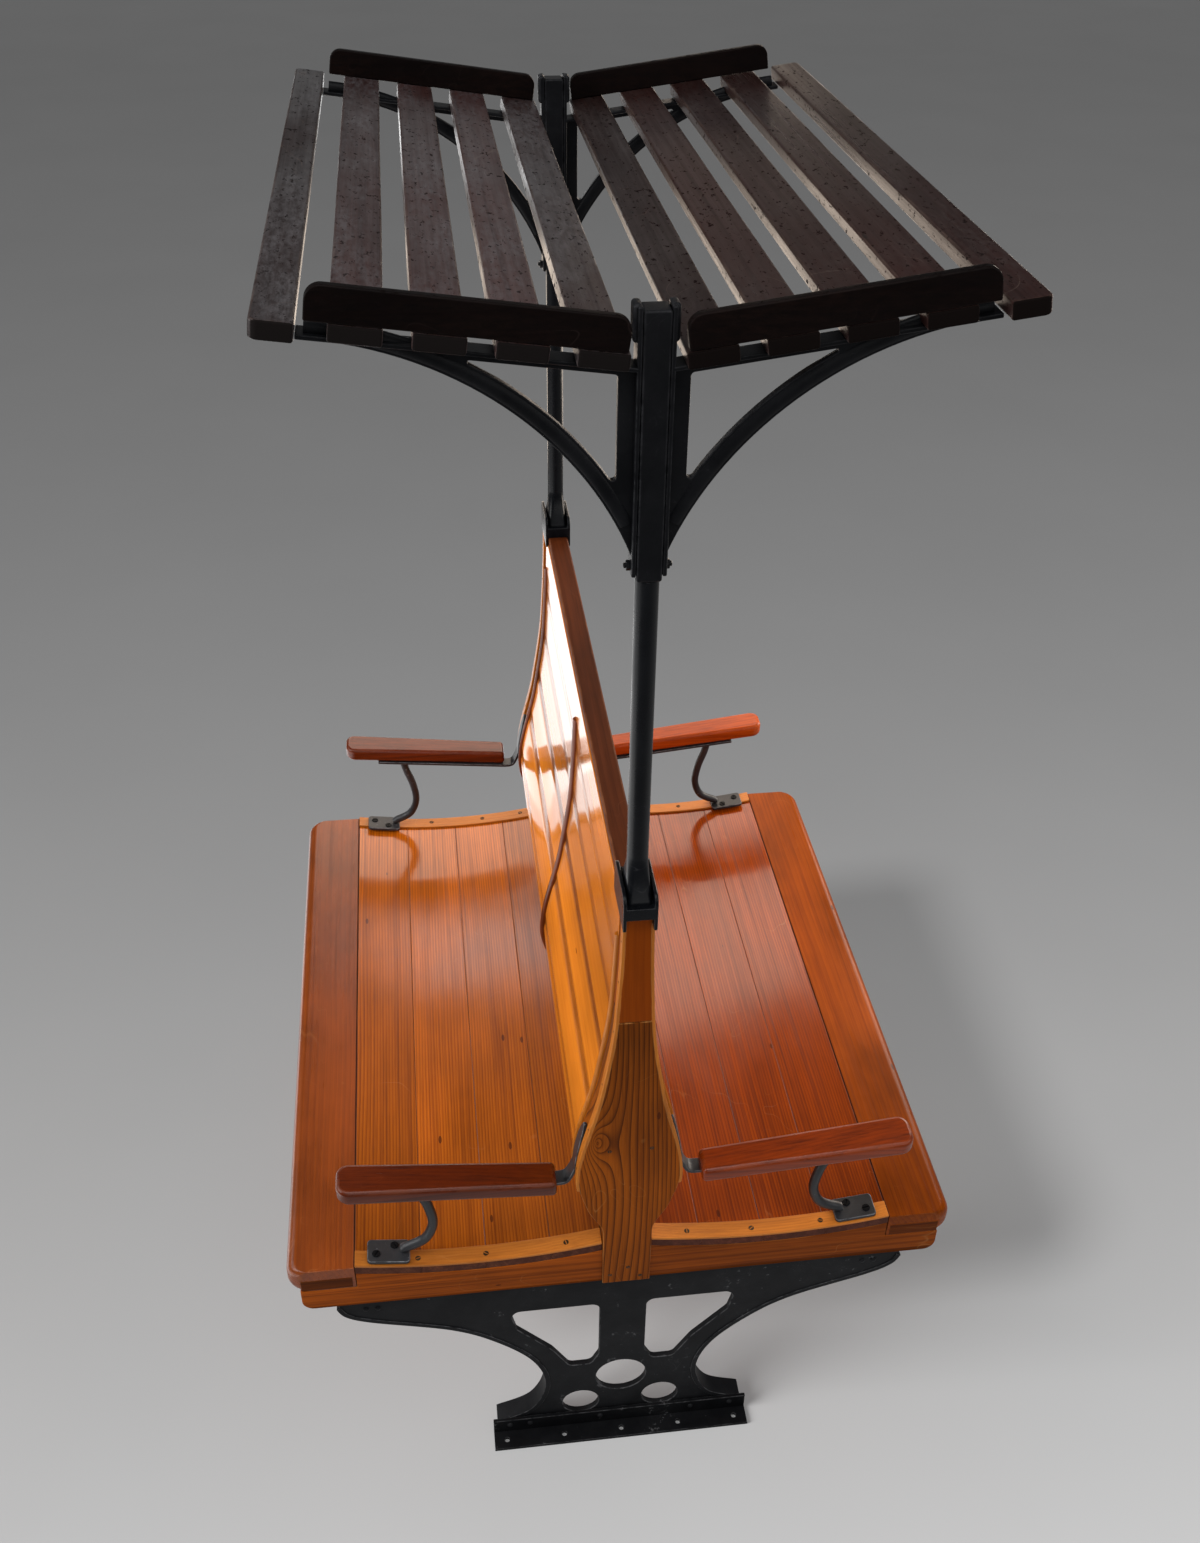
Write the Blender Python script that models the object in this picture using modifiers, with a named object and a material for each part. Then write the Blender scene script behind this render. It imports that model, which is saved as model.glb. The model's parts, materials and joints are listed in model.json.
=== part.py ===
"""Double-sided railway carriage bench with a luggage rack over its back.

X runs across the bench in the sitting direction, Y along its length, and Z up.
The origin is on the floor under the middle of the bench.
"""

import math

import bmesh
import bpy
from mathutils import Matrix

# Driving dimensions, in metres
FIT = 0.0003  # gap between pieces that touch
EDGE = 0.003  # softened edge of a sawn piece

SEAT_WIDTH = 1.008  # over both nosings
SEAT_LENGTH = 1.080  # over both end rails
SEAT_RISE = 0.089  # top of the nosing over the bottom of the end rails
NOSING_WIDTH = 0.101
NOSING_THICKNESS = 0.045
NOSE_RADIUS = 0.019
NOSING_CORNER = 0.024  # corner radius in plan
BOARD_WIDTH = 0.0965
BOARD_THICKNESS = 0.014
DISH_DEPTH = 0.0165
TONGUE = 0.005  # length and thickness of a board's tongue
BATTEN_WIDTH = 0.028
BATTEN_THICKNESS = 0.004

RAIL_THICKNESS = 0.026
RAIL_SETBACK = 0.018  # nosing's overhang past the rail's end
RAIL_CORNER = 0.018
BEARER_THICKNESS = 0.032
BEARER_DEPTH = 0.050

# Back posts: heights are over the nosing's top
POST_DEPTH = 0.045
POST_PROUD = 0.005  # how far a post stands out from the end rail
POST_TENON = 0.0187  # thickness of the post's foot in the rail's notch
POST_HALF_WIDTH = 0.0365  # at the seat
THROAT_RISE = 0.030
SHOULDER_RISE = 0.088
SHOULDER_HALF_WIDTH = 0.060
BULGE_RISE = 0.150
BULGE_HALF_WIDTH = 0.0735
WAIST_RISE = 0.325
WAIST_HALF_WIDTH = 0.041
SCARF_RISE = 0.467  # joint between the two pieces of a post
SCARF_HALF_WIDTH = 0.0228
BACK_RISE = 0.653
CAP_WIDTH = 0.034
CAP_THICKNESS = 0.014
LINING_THICKNESS = 0.009
LINING_BOARD = 0.058  # spacing of the grooves
GROOVE_WIDTH = 0.004
GROOVE_DEPTH = 0.0022
MIDDLE_POST_DEPTH = 0.040

PEDESTAL_HEIGHT = 0.3957
PEDESTAL_SETBACK = 0.010  # web behind the end rail's face
PEDESTAL_WEB = 0.010
PEDESTAL_RIM = 0.008
PEDESTAL_RIM_DEPTH = 0.030
PEDESTAL_RIM_PROUD = 0.0017
PEDESTAL_ARM_SETBACK = 0.047  # arm's tip inside the end rail's end
# Half widths with heights over the floor, from the foot up past the waist
PEDESTAL_LEG_LINE = ((0.205, 0.026), (0.148, 0.054), (0.124, 0.120), (0.144, 0.189))
# Distances inside the arm's tip with depths under the top, on the way out to it
PEDESTAL_ARM_LINE = ((0.238, 0.145), (0.169, 0.101), (0.054, 0.059))
PEDESTAL_TIP_DEPTH = 0.018
# Window corners: half width, depth under the top and radius
WINDOW_UPPER = ((0.037, 0.074, 0.014), (0.178, 0.074, 0.014), (0.168, 0.119, 0.012))
# Window corners: half width, height over the floor and radius
WINDOW_LOWER = ((0.112, 0.212, 0.060), (0.084, 0.163, 0.012), (0.050, 0.163, 0.012), (0.037, 0.190, 0.020))
HUB_HOLE_RADIUS = 0.041
HUB_HOLE_HEIGHT = 0.124
SIDE_HOLE_RADIUS = 0.030
SIDE_HOLE_OFFSET = 0.066
SIDE_HOLE_HEIGHT = 0.058
ANGLE_LEG = 0.036
ANGLE_THICKNESS = 0.006
ANGLE_OVERHANG = 0.007  # past the pedestal's foot, at each end
FLOOR_HOLE_RADIUS = 0.004
FLOOR_HOLE_PITCH = 0.0955

RACK_POST_INSET = 0.028  # rack post's axis inside the end rail's face
PIPE_RADIUS = 0.01345
PIPE_WALL = 0.0028
PIPE_FLARE = 0.040
SADDLE_LENGTH = 0.086
SADDLE_PLATE = 0.0045
SADDLE_CROWN = 0.018
SADDLE_LEG = 0.018
SADDLE_EAR = 0.017
UPRIGHT_WIDTH = 0.028
UPRIGHT_DEPTH = 0.030
UPRIGHT_LENGTH = 0.293
UPRIGHT_RISE = 0.0405  # upright's top over the rack's valley
SPIGOT_LENGTH = 0.045

RACK_RISE = 0.7085  # rack's valley, at the tops of the slats, over the top of the back
RACK_SLOPE = math.radians(7.7)
FIRST_SLAT = 0.0268  # start of the first slat, along the slope
SLAT_COUNT = 4
SLAT_WIDTH = 0.0515
SLAT_PITCH = 0.0787
SLAT_THICKNESS = 0.018
SLAT_OVERHANG = 0.029  # past the rack post's axis
OUTER_SLAT_SHIFT = 0.0029  # extra gap before the outer slat
OUTER_SLAT_WIDTH = 0.042
OUTER_SLAT_THICKNESS = 0.020
OUTER_SLAT_OVERHANG = 0.035
FENCE_START = 0.030
FENCE_MARGIN = 0.0075  # fence's end short of the outer slat
FENCE_HEIGHT = 0.036
FENCE_THICKNESS = 0.012
FENCE_CORNER = 0.016
BRACKET_WEB = 0.012
BRACKET_FLANGE = 0.005
BRACKET_FLANGE_DEPTH = 0.028
BRACKET_ARM = 0.012
BRACKET_STRUT = 0.020
BRACKET_LEG = 0.0222
BRACKET_LIFT = 0.006  # bracket's foot over the upright's
BRACKET_TOE = 0.022  # start of the strut over the bracket's foot
BRACKET_SAG = 0.0575  # bow of the strut's lower edge

PAD_GAP = 0.0315  # pad's rear end to the widest part of the back
PAD_REACH = 0.0105  # pad's front end past the nosing's joint
PAD_REAR_RISE = 0.163  # pad's top over the nosing's top
PAD_FRONT_RISE = 0.195
PAD_THICKNESS = 0.026
PAD_REAR_WIDTH = 0.036
PAD_FRONT_WIDTH = 0.047
PAD_INSET = 0.0284  # pad's inner edge inside the end rail's face, at the rear
PAD_EDGE = 0.007
PAD_REAR_CORNER = 0.008
ARM_LINE = 0.0225  # arm iron's middle inside the end rail's face
FOOT_SETBACK = 0.0496  # foot plate's middle inside the nosing's joint
FOOT_LENGTH = 0.063
FOOT_WIDTH = 0.040
FOOT_THICKNESS = 0.006
FOOT_CORNER = 0.006
STANCHION_RADIUS = 0.0065
STANCHION_SWEEP = 0.0684  # bulge of the stanchion behind the foot plate's middle
STANCHION_RETURN = 0.020  # its top in front of the bulge
STANCHION_LIFT = 0.0036  # its middle over the foot plate
# Shares of the sweep and of the rise that the stanchion's middle goes through
STANCHION_LINE = ((0.40, 0.012), (0.81, 0.12), (1.0, 0.34), (0.94, 0.60), (0.78, 0.84))
STRAP_WIDTH = 0.024
STRAP_THICKNESS = 0.005
STRAP_CURL = 0.030  # height of the bend at the back post
STRAP_RISE = 0.112  # strap up the back, over the pad's rear underside

# Values that follow from the driving dimensions
END = SEAT_LENGTH / 2
RAIL_BOTTOM = PEDESTAL_HEIGHT + FIT
SEAT_HEIGHT = RAIL_BOTTOM + SEAT_RISE
LOW_SEAT = SEAT_HEIGHT - BOARD_THICKNESS - FIT
JOINT_X = SEAT_WIDTH / 2 - NOSING_WIDTH
SLOT_X = POST_HALF_WIDTH + 2 * FIT
DISH_MIDDLE = (JOINT_X + SLOT_X) / 2
DISH_HALF = (JOINT_X - SLOT_X) / 2
DISH_CURVATURE = 2 * DISH_DEPTH / DISH_HALF**2
RAIL_HALF = SEAT_WIDTH / 2 - RAIL_SETBACK
POST_OUTER = END + POST_PROUD
POST_INNER = POST_OUTER - POST_DEPTH
BACK_TOP = SEAT_HEIGHT + BACK_RISE
CAP_BOTTOM = BACK_TOP - CAP_THICKNESS
SCARF = SEAT_HEIGHT + SCARF_RISE
BACK_STATIONS = (
    (SEAT_HEIGHT + THROAT_RISE, POST_HALF_WIDTH),
    (SEAT_HEIGHT + SHOULDER_RISE, SHOULDER_HALF_WIDTH),
    (SEAT_HEIGHT + BULGE_RISE, BULGE_HALF_WIDTH),
    (SEAT_HEIGHT + WAIST_RISE, WAIST_HALF_WIDTH),
    (SCARF, SCARF_HALF_WIDTH),
    (BACK_TOP - max(SADDLE_LEG, CAP_THICKNESS), CAP_WIDTH / 2),
)
PEDESTAL_FACE = END - PEDESTAL_SETBACK
PEDESTAL_FOOT_HALF = PEDESTAL_LEG_LINE[0][0]
PEDESTAL_ARM_HALF = RAIL_HALF - PEDESTAL_ARM_SETBACK
RACK_Y = END - RACK_POST_INSET
RACK_HEIGHT = BACK_TOP + RACK_RISE
UPRIGHT_TOP = RACK_HEIGHT + UPRIGHT_RISE
UPRIGHT_BOTTOM = UPRIGHT_TOP - UPRIGHT_LENGTH
BRACKET_BOTTOM = UPRIGHT_BOTTOM + BRACKET_LIFT
OUTER_SLAT_START = FIRST_SLAT + SLAT_PITCH * SLAT_COUNT + OUTER_SLAT_SHIFT
PAD_REAR = BULGE_HALF_WIDTH + PAD_GAP
PAD_FRONT = JOINT_X + PAD_REACH
FOOT_CENTRE = JOINT_X - FOOT_SETBACK
ARM_Y = END - ARM_LINE

LEFT_RIGHT = {"left": -1, "right": 1}
NEAR_FAR = {"near": -1, "far": 1}


# Scene and finishes


def clear_scene():
    for obj in list(bpy.data.objects):
        bpy.data.objects.remove(obj, do_unlink=True)


def make_collection(name):
    collection = bpy.data.collections.new(name)
    bpy.context.scene.collection.children.link(collection)
    return collection


def make_finish(name, colour, roughness, metallic=0.0):
    finish = bpy.data.materials.new(name)
    finish.use_nodes = True
    shader = finish.node_tree.nodes["Principled BSDF"]
    shader.inputs["Base Color"].default_value = (*colour, 1.0)
    shader.inputs["Roughness"].default_value = roughness
    shader.inputs["Metallic"].default_value = metallic
    return finish


clear_scene()
bench = make_collection("train_bench")

black_iron = make_finish("black_iron", (0.020, 0.021, 0.025), 0.45, 0.6)
pipe_iron = make_finish("pipe_iron", (0.035, 0.040, 0.050), 0.35, 0.7)
oak = make_finish("oak", (0.330, 0.145, 0.035), 0.35)
post_wood = make_finish("post_wood", (0.300, 0.120, 0.030), 0.35)
lining_pine = make_finish("lining_pine", (0.560, 0.230, 0.045), 0.22)
seat_pine = make_finish("seat_pine", (0.400, 0.115, 0.025), 0.22)
nosing_wood = make_finish("nosing_wood", (0.280, 0.075, 0.018), 0.25)
rail_wood = make_finish("rail_wood", (0.240, 0.075, 0.022), 0.40)
batten_pine = make_finish("batten_pine", (0.560, 0.260, 0.070), 0.35)
cap_wood = make_finish("cap_wood", (0.120, 0.035, 0.012), 0.30)
pad_wood = make_finish("pad_wood", (0.180, 0.042, 0.014), 0.25)
slat_wood = make_finish("slat_wood", (0.045, 0.016, 0.013), 0.30)
fence_wood = make_finish("fence_wood", (0.022, 0.012, 0.010), 0.35)


# Every piece is drawn at +X, +Y, and hangs on the empty of its own quarter


def make_quarter(side, end):
    quarter = bpy.data.objects.new(f"quarter_{side:+d}_{end:+d}", None)
    quarter.scale = (side, end, 1)
    bench.objects.link(quarter)
    return quarter


quarters = {(side, end): make_quarter(side, end) for side in (-1, 1) for end in (-1, 1)}


def place(name, mesh, finish, side=1, end=1):
    if not mesh.materials:
        mesh.materials.append(finish)
    mesh.shade_smooth()
    mesh.set_sharp_from_angle(angle=math.radians(30))
    obj = bpy.data.objects.new(name, mesh)
    obj.parent = quarters[side, end]
    bench.objects.link(obj)


# Mesh tools


def draft(data):
    obj = bpy.data.objects.new("draft", data)
    bench.objects.link(obj)
    return obj


def evaluated(obj):
    bpy.context.view_layer.update()
    graph = bpy.context.evaluated_depsgraph_get()
    return bpy.data.meshes.new_from_object(obj.evaluated_get(graph))


def cleaned(mesh):
    work = bmesh.new()
    work.from_mesh(mesh)
    bmesh.ops.remove_doubles(work, verts=work.verts, dist=1e-6)
    bmesh.ops.recalc_face_normals(work, faces=work.faces)
    work.to_mesh(mesh)
    work.free()
    return mesh


def slab(loops, depth):
    """A flat outline with any holes, extruded evenly to both sides of the XY plane."""
    curve = bpy.data.curves.new("outline", "CURVE")
    curve.dimensions = "2D"
    curve.fill_mode = "BOTH"
    curve.extrude = depth / 2
    for loop in loops:
        spline = curve.splines.new("POLY")
        spline.points.add(len(loop) - 1)
        for point, (across, up) in zip(spline.points, loop):
            point.co = (across, up, 0, 1)
        spline.use_cyclic_u = True
    obj = draft(curve)
    mesh = evaluated(obj)
    bpy.data.objects.remove(obj)
    return cleaned(mesh)


def upright_slab(loops, low_y, high_y):
    """An outline drawn in X and Z, filling from low_y to high_y."""
    mesh = slab(loops, high_y - low_y)
    mesh.transform(Matrix.Rotation(math.pi / 2, 4, "X"))
    mesh.transform(Matrix.Translation((0, (low_y + high_y) / 2, 0)))
    return mesh


def block(low, high):
    work = bmesh.new()
    size = [top - bottom for bottom, top in zip(low, high)]
    middle = [(top + bottom) / 2 for bottom, top in zip(low, high)]
    bmesh.ops.create_cube(work, matrix=Matrix.Translation(middle) @ Matrix.Diagonal((*size, 1)))
    mesh = bpy.data.meshes.new("block")
    work.to_mesh(mesh)
    work.free()
    return mesh


def combined(mesh, others, operation):
    base = draft(mesh)
    tools = [draft(other) for other in others]
    for tool in tools:
        modifier = base.modifiers.new(operation.lower(), "BOOLEAN")
        modifier.operation = operation
        modifier.object = tool
    result = evaluated(base)
    for obj in [base, *tools]:
        bpy.data.objects.remove(obj)
    return result


def bevelled(mesh, width, segments=2):
    obj = draft(mesh)
    modifier = obj.modifiers.new("bevel", "BEVEL")
    modifier.width = width
    modifier.segments = segments
    modifier.limit_method = "ANGLE"
    modifier.angle_limit = math.radians(40)
    result = evaluated(obj)
    bpy.data.objects.remove(obj)
    return result


def turned(profile, steps):
    """A profile of radius and height, from the bore up, over the rim and down the outside."""
    mesh = bpy.data.meshes.new("profile")
    points = [(radius, 0, height) for radius, height in profile]
    mesh.from_pydata(points, [(i, i + 1) for i in range(len(points) - 1)], [])
    obj = draft(mesh)
    modifier = obj.modifiers.new("turn", "SCREW")
    modifier.steps = modifier.render_steps = steps
    modifier.use_merge_vertices = True
    modifier.merge_threshold = 1e-5
    result = evaluated(obj)
    bpy.data.objects.remove(obj)
    return cleaned(result)


def pin(centre, radius, low, high, steps):
    """An upright cylinder."""
    mesh = turned([(0, high), (radius, high), (radius, low), (0, low)], steps)
    mesh.transform(Matrix.Translation((*centre, 0)))
    return mesh


def round_bar(path, radius):
    curve = bpy.data.curves.new("bar", "CURVE")
    curve.dimensions = "3D"
    curve.bevel_depth = radius
    curve.bevel_resolution = 2
    curve.use_fill_caps = True
    spline = curve.splines.new("POLY")
    spline.points.add(len(path) - 1)
    for point, place_on_path in zip(spline.points, path):
        point.co = (*place_on_path, 1)
    obj = draft(curve)
    mesh = evaluated(obj)
    bpy.data.objects.remove(obj)
    return cleaned(mesh)


# Outline tools, on pairs of numbers


def steps_between(first, last, count):
    return [first + (last - first) * i / count for i in range(count + 1)]


def mirrored(outline):
    return [(-x, z) for x, z in outline[::-1]]


def circle(centre, radius, count):
    # Circles in one row start at different angles, so that no three of their points lie on one line.
    angles = [centre[0] + 2 * math.pi * i / count for i in range(count)]
    return [(centre[0] + radius * math.cos(a), centre[1] + radius * math.sin(a)) for a in angles]


def spline(p, q, r, s, t):
    """A number between q and r, on the smooth line that also heeds p and s."""
    bend = 2 * p - 5 * q + 4 * r - s
    twist = 3 * q - p - 3 * r + s
    return q + ((r - p) * t + bend * t**2 + twist * t**3) / 2


def smooth(points, count):
    """A smooth line through the points, with count steps between neighbours."""
    ends = [points[0], *points, points[-1]]
    line = []
    for four in zip(ends, ends[1:], ends[2:], ends[3:]):
        for t in steps_between(0, 1, count)[:-1]:
            line.append(tuple(spline(*numbers, t) for numbers in zip(*four)))
    return [*line, points[-1]]


def offset(path, distance):
    """The path moved to its left by distance."""
    moved = []
    for i, (x, z) in enumerate(path):
        before, after = path[max(i - 1, 0)], path[min(i + 1, len(path) - 1)]
        run, rise = after[0] - before[0], after[1] - before[1]
        length = math.hypot(run, rise)
        moved.append((x - distance * rise / length, z + distance * run / length))
    return moved


def ribbon(path, left, right):
    return offset(path, left) + offset(path, -right)[::-1]


def toward(start, end):
    reach = math.dist(start, end)
    return (end[0] - start[0]) / reach, (end[1] - start[1]) / reach


def corner_arc(corner, before, after, radius, count):
    """The arc that rounds off a corner between its two neighbours."""
    (ax, az), (bx, bz) = toward(corner, before), toward(corner, after)
    half = math.acos(ax * bx + az * bz) / 2
    middle = math.hypot(ax + bx, az + bz) * math.sin(half) / radius
    centre = (corner[0] + (ax + bx) / middle, corner[1] + (az + bz) / middle)
    reach = radius / math.tan(half)
    start = (corner[0] + ax * reach - centre[0], corner[1] + az * reach - centre[1])
    sweep = math.copysign(math.pi - 2 * half, az * bx - ax * bz)
    first = math.atan2(start[1], start[0])
    angles = steps_between(first, first + sweep, count)
    return [(centre[0] + radius * math.cos(a), centre[1] + radius * math.sin(a)) for a in angles]


def rounded(corners, count=4):
    """A closed outline whose corners (x, z, radius) are turned into arcs."""
    line = []
    for i, (x, z, radius) in enumerate(corners):
        before, after = corners[i - 1][:2], corners[(i + 1) % len(corners)][:2]
        line += corner_arc((x, z), before, after, radius, count) if radius else [(x, z)]
    return line


# Curves that several pieces share


def dish(x):
    """Height of the seat's surface."""
    return SEAT_HEIGHT - DISH_DEPTH * (1 - ((x - DISH_MIDDLE) / DISH_HALF) ** 2)


def dish_line(low, high, drop, count=8):
    return [(x, dish(x) - drop) for x in steps_between(low, high, count)]


def station_slope(i):
    if i in (0, len(BACK_STATIONS) - 1):
        return 0.0
    (z0, w0), (z1, w1), (z2, w2) = BACK_STATIONS[i - 1 : i + 2]
    below, above = (w1 - w0) / (z1 - z0), (w2 - w1) / (z2 - z1)
    return 2 * below * above / (below + above) if below * above > 0 else 0.0


def back_half(z):
    """Half the thickness of the back at a height, smooth through the stations."""
    if z <= BACK_STATIONS[0][0]:
        return BACK_STATIONS[0][1]
    for i, ((z0, w0), (z1, w1)) in enumerate(zip(BACK_STATIONS, BACK_STATIONS[1:])):
        if z < z1:
            t, span = (z - z0) / (z1 - z0), z1 - z0
            return (
                w0 * (1 - 3 * t**2 + 2 * t**3)
                + w1 * (3 * t**2 - 2 * t**3)
                + station_slope(i) * span * (t - 2 * t**2 + t**3)
                + station_slope(i + 1) * span * (t**3 - t**2)
            )
    return BACK_STATIONS[-1][1]


def rack_point(along, below):
    """A point of the rack's section, along its slope and below the tops of the slats."""
    cos, sin = math.cos(RACK_SLOPE), math.sin(RACK_SLOPE)
    return (along * cos + below * sin, RACK_HEIGHT + along * sin - below * cos)


def pad_top(x):
    share = (x - PAD_REAR) / (PAD_FRONT - PAD_REAR)
    return SEAT_HEIGHT + PAD_REAR_RISE + (PAD_FRONT_RISE - PAD_REAR_RISE) * share


# Seat


def board_outline(inner, outer, grooved):
    """A seat board with a tongue on its outer edge and maybe a groove on its inner one."""
    deep = (BOARD_THICKNESS - TONGUE) / 2
    low, high = inner + FIT / 2, outer - FIT / 2
    outline = dish_line(low, high, 0)
    tip, under = high + TONGUE, deep + TONGUE
    outline += [(x, dish(high) - z) for x, z in ((high, deep), (tip, deep), (tip, under), (high, under))]
    outline += dish_line(high, low, BOARD_THICKNESS)
    if grooved:
        outline += [(x, dish(low) - z) for x, z in groove(low, deep)]
    else:
        outline += [(FIT / 2, SEAT_HEIGHT - BOARD_THICKNESS), (FIT / 2, SEAT_HEIGHT)]
    return outline


def groove(edge, deep):
    """A groove in an edge that faces the back, from its lower lip to its upper one."""
    bottom = edge + TONGUE + 2 * FIT
    low, high = deep + TONGUE + FIT, deep - FIT
    return [(edge, low), (bottom, low), (bottom, high), (edge, high)]


def make_seat_boards():
    count = max(1, math.ceil((JOINT_X - SLOT_X) / BOARD_WIDTH - 0.25))
    edges = [JOINT_X - BOARD_WIDTH * i for i in range(count)] + [SLOT_X]
    for number, (outer, inner) in enumerate(zip(edges, edges[1:]), 1):
        outline = board_outline(inner, outer, grooved=number < count)
        mesh = upright_slab([outline], -END, END)
        if number == count:
            mesh = combined(mesh, [post_notch(-1), post_notch(1)], "DIFFERENCE")
        for name, side in LEFT_RIGHT.items():
            place(f"seat_board_{name}_{number}", mesh, seat_pine, side)


def post_notch(end):
    """Room for a back post in the boards that meet under the back."""
    near, far = sorted((end * (POST_INNER - FIT), end * SEAT_LENGTH))
    return block((-SLOT_X, near, 0), (SLOT_X - FIT, far, SEAT_LENGTH))


def make_nosings():
    deep = (BOARD_THICKNESS - TONGUE) / 2
    low, high = JOINT_X + FIT / 2, SEAT_WIDTH / 2
    bottom = SEAT_HEIGHT - NOSING_THICKNESS
    nose = [(high, bottom, NOSE_RADIUS), (high, SEAT_HEIGHT, NOSE_RADIUS)]
    profile = rounded([(low, bottom, 0), *nose, (low, SEAT_HEIGHT, 0)], 6)
    profile += [(x, SEAT_HEIGHT - z) for x, z in groove(low, deep)[::-1]]
    bar = upright_slab([profile], -END, END)
    inside = low - NOSING_WIDTH
    corners = [(high, -END, NOSING_CORNER), (high, END, NOSING_CORNER)]
    plan = slab([rounded([(inside, -END, 0), *corners, (inside, END, 0)], 6)], 2 * SEAT_HEIGHT)
    plan.transform(Matrix.Translation((0, 0, SEAT_HEIGHT)))
    mesh = combined(bar, [plan], "INTERSECT")
    for name, side in LEFT_RIGHT.items():
        place(f"seat_nosing_{name}", mesh, nosing_wood, side)


def make_battens():
    path = dish_line(SLOT_X + FIT, JOINT_X - FIT, -FIT)
    mesh = upright_slab([ribbon(path, BATTEN_THICKNESS, 0)], END - BATTEN_WIDTH, END)
    for end_name, end in NEAR_FAR.items():
        for name, side in LEFT_RIGHT.items():
            place(f"seat_batten_{end_name}_{name}", mesh, batten_pine, side, end)


def make_end_rails():
    under_nosing = SEAT_HEIGHT - NOSING_THICKNESS - FIT
    drop = BOARD_THICKNESS + FIT
    half = dish_line(SLOT_X, JOINT_X - FIT, drop)
    half += [(JOINT_X - FIT, under_nosing)]
    corner = min(RAIL_CORNER, (under_nosing - RAIL_BOTTOM) / 2)
    end = [(RAIL_HALF, under_nosing, 0), (RAIL_HALF, RAIL_BOTTOM, corner), (0, RAIL_BOTTOM, 0)]
    half += rounded(end, 5)[:-1]
    outline = half + mirrored(half)
    mesh = upright_slab([outline], END - RAIL_THICKNESS, END)
    notch_depth = POST_TENON - POST_PROUD + FIT
    notch_half = POST_HALF_WIDTH + FIT
    notch = block((-notch_half, END - notch_depth, 0), (notch_half, SEAT_LENGTH, SEAT_HEIGHT))
    mesh = combined(mesh, [notch], "DIFFERENCE")
    for name, end in NEAR_FAR.items():
        place(f"end_rail_{name}", mesh, rail_wood, 1, end)


def make_middle_bearer():
    half = dish_line(SLOT_X, JOINT_X - FIT, BOARD_THICKNESS + FIT)
    half += [(JOINT_X - FIT, SEAT_HEIGHT - BEARER_DEPTH - BOARD_THICKNESS)]
    outline = half + mirrored(half)
    mesh = upright_slab([outline], -BEARER_THICKNESS / 2, BEARER_THICKNESS / 2)
    place("middle_bearer", mesh, rail_wood)


# Back


def post_outline(heights):
    half = [(back_half(z), z) for z in heights]
    return half + mirrored(half)


def make_back_posts():
    shaped = steps_between(SEAT_HEIGHT + THROAT_RISE, SCARF, 26)
    mesh = upright_slab([post_outline([RAIL_BOTTOM, *shaped])], POST_INNER, POST_OUTER)
    clearance = block(
        (-POST_HALF_WIDTH * 2, POST_INNER - POST_DEPTH, 0),
        (POST_HALF_WIDTH * 2, POST_OUTER - POST_TENON, LOW_SEAT + FIT),
    )
    mesh = combined(mesh, [clearance], "DIFFERENCE")
    upper = upright_slab([post_outline(steps_between(SCARF + FIT, BACK_TOP, 8))], POST_INNER, POST_OUTER)
    for name, end in NEAR_FAR.items():
        place(f"back_post_{name}", mesh, oak, 1, end)
        place(f"back_post_top_{name}", upper, post_wood, 1, end)


def back_path():
    """The lining's outer side, from the seat to the cap rail."""
    heights = steps_between(SEAT_HEIGHT + THROAT_RISE, CAP_BOTTOM - FIT, 30)
    return [(back_half(z), z) for z in [SEAT_HEIGHT + FIT, *heights]]


def lining_outline():
    """The panel's section: its outer side with the grooves between boards, and its plain inner side."""
    path = back_path()
    low, high = path[0][1], path[-1][1]
    lip = GROOVE_WIDTH / 2
    grooves = [low + LINING_BOARD * i for i in range(1, round((high - low) / LINING_BOARD))]
    outer = [(x, z) for x, z in path if all(abs(z - middle) > GROOVE_WIDTH for middle in grooves)]
    for z in grooves:
        lips = [(back_half(edge), edge) for edge in (z - lip, z + lip)]
        outer += [*lips, (back_half(z) - GROOVE_DEPTH, z)]
    return sorted(outer, key=lambda point: point[1]) + offset(path, LINING_THICKNESS)[::-1]


def make_linings():
    reach = POST_INNER - FIT
    mesh = upright_slab([lining_outline()], -reach, reach)
    for name, side in LEFT_RIGHT.items():
        place(f"back_lining_{name}", mesh, lining_pine, side)


def make_middle_post():
    half = offset(back_path(), LINING_THICKNESS + FIT)
    mesh = upright_slab([half + mirrored(half)], -MIDDLE_POST_DEPTH / 2, MIDDLE_POST_DEPTH / 2)
    place("middle_post", mesh, rail_wood)


def make_cap_rail():
    reach = POST_INNER - FIT
    half = CAP_WIDTH / 2
    mesh = bevelled(block((-half, -reach, CAP_BOTTOM), (half, reach, BACK_TOP)), EDGE)
    place("cap_rail", mesh, cap_wood)


# Pedestals


def pedestal_side():
    """The edge of the casting from the floor up the waist and out to the arm's tip."""
    arm = [(PEDESTAL_ARM_HALF - inside, PEDESTAL_HEIGHT - depth) for inside, depth in PEDESTAL_ARM_LINE]
    tip = (PEDESTAL_ARM_HALF, PEDESTAL_HEIGHT - PEDESTAL_TIP_DEPTH)
    return [(PEDESTAL_FOOT_HALF, PEDESTAL_RIM / 2), *smooth([*PEDESTAL_LEG_LINE, *arm, tip], 3)]


def pedestal_window():
    upper = [(x, PEDESTAL_HEIGHT - depth, radius) for x, depth, radius in WINDOW_UPPER]
    return rounded([*upper, *WINDOW_LOWER], 3)


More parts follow.
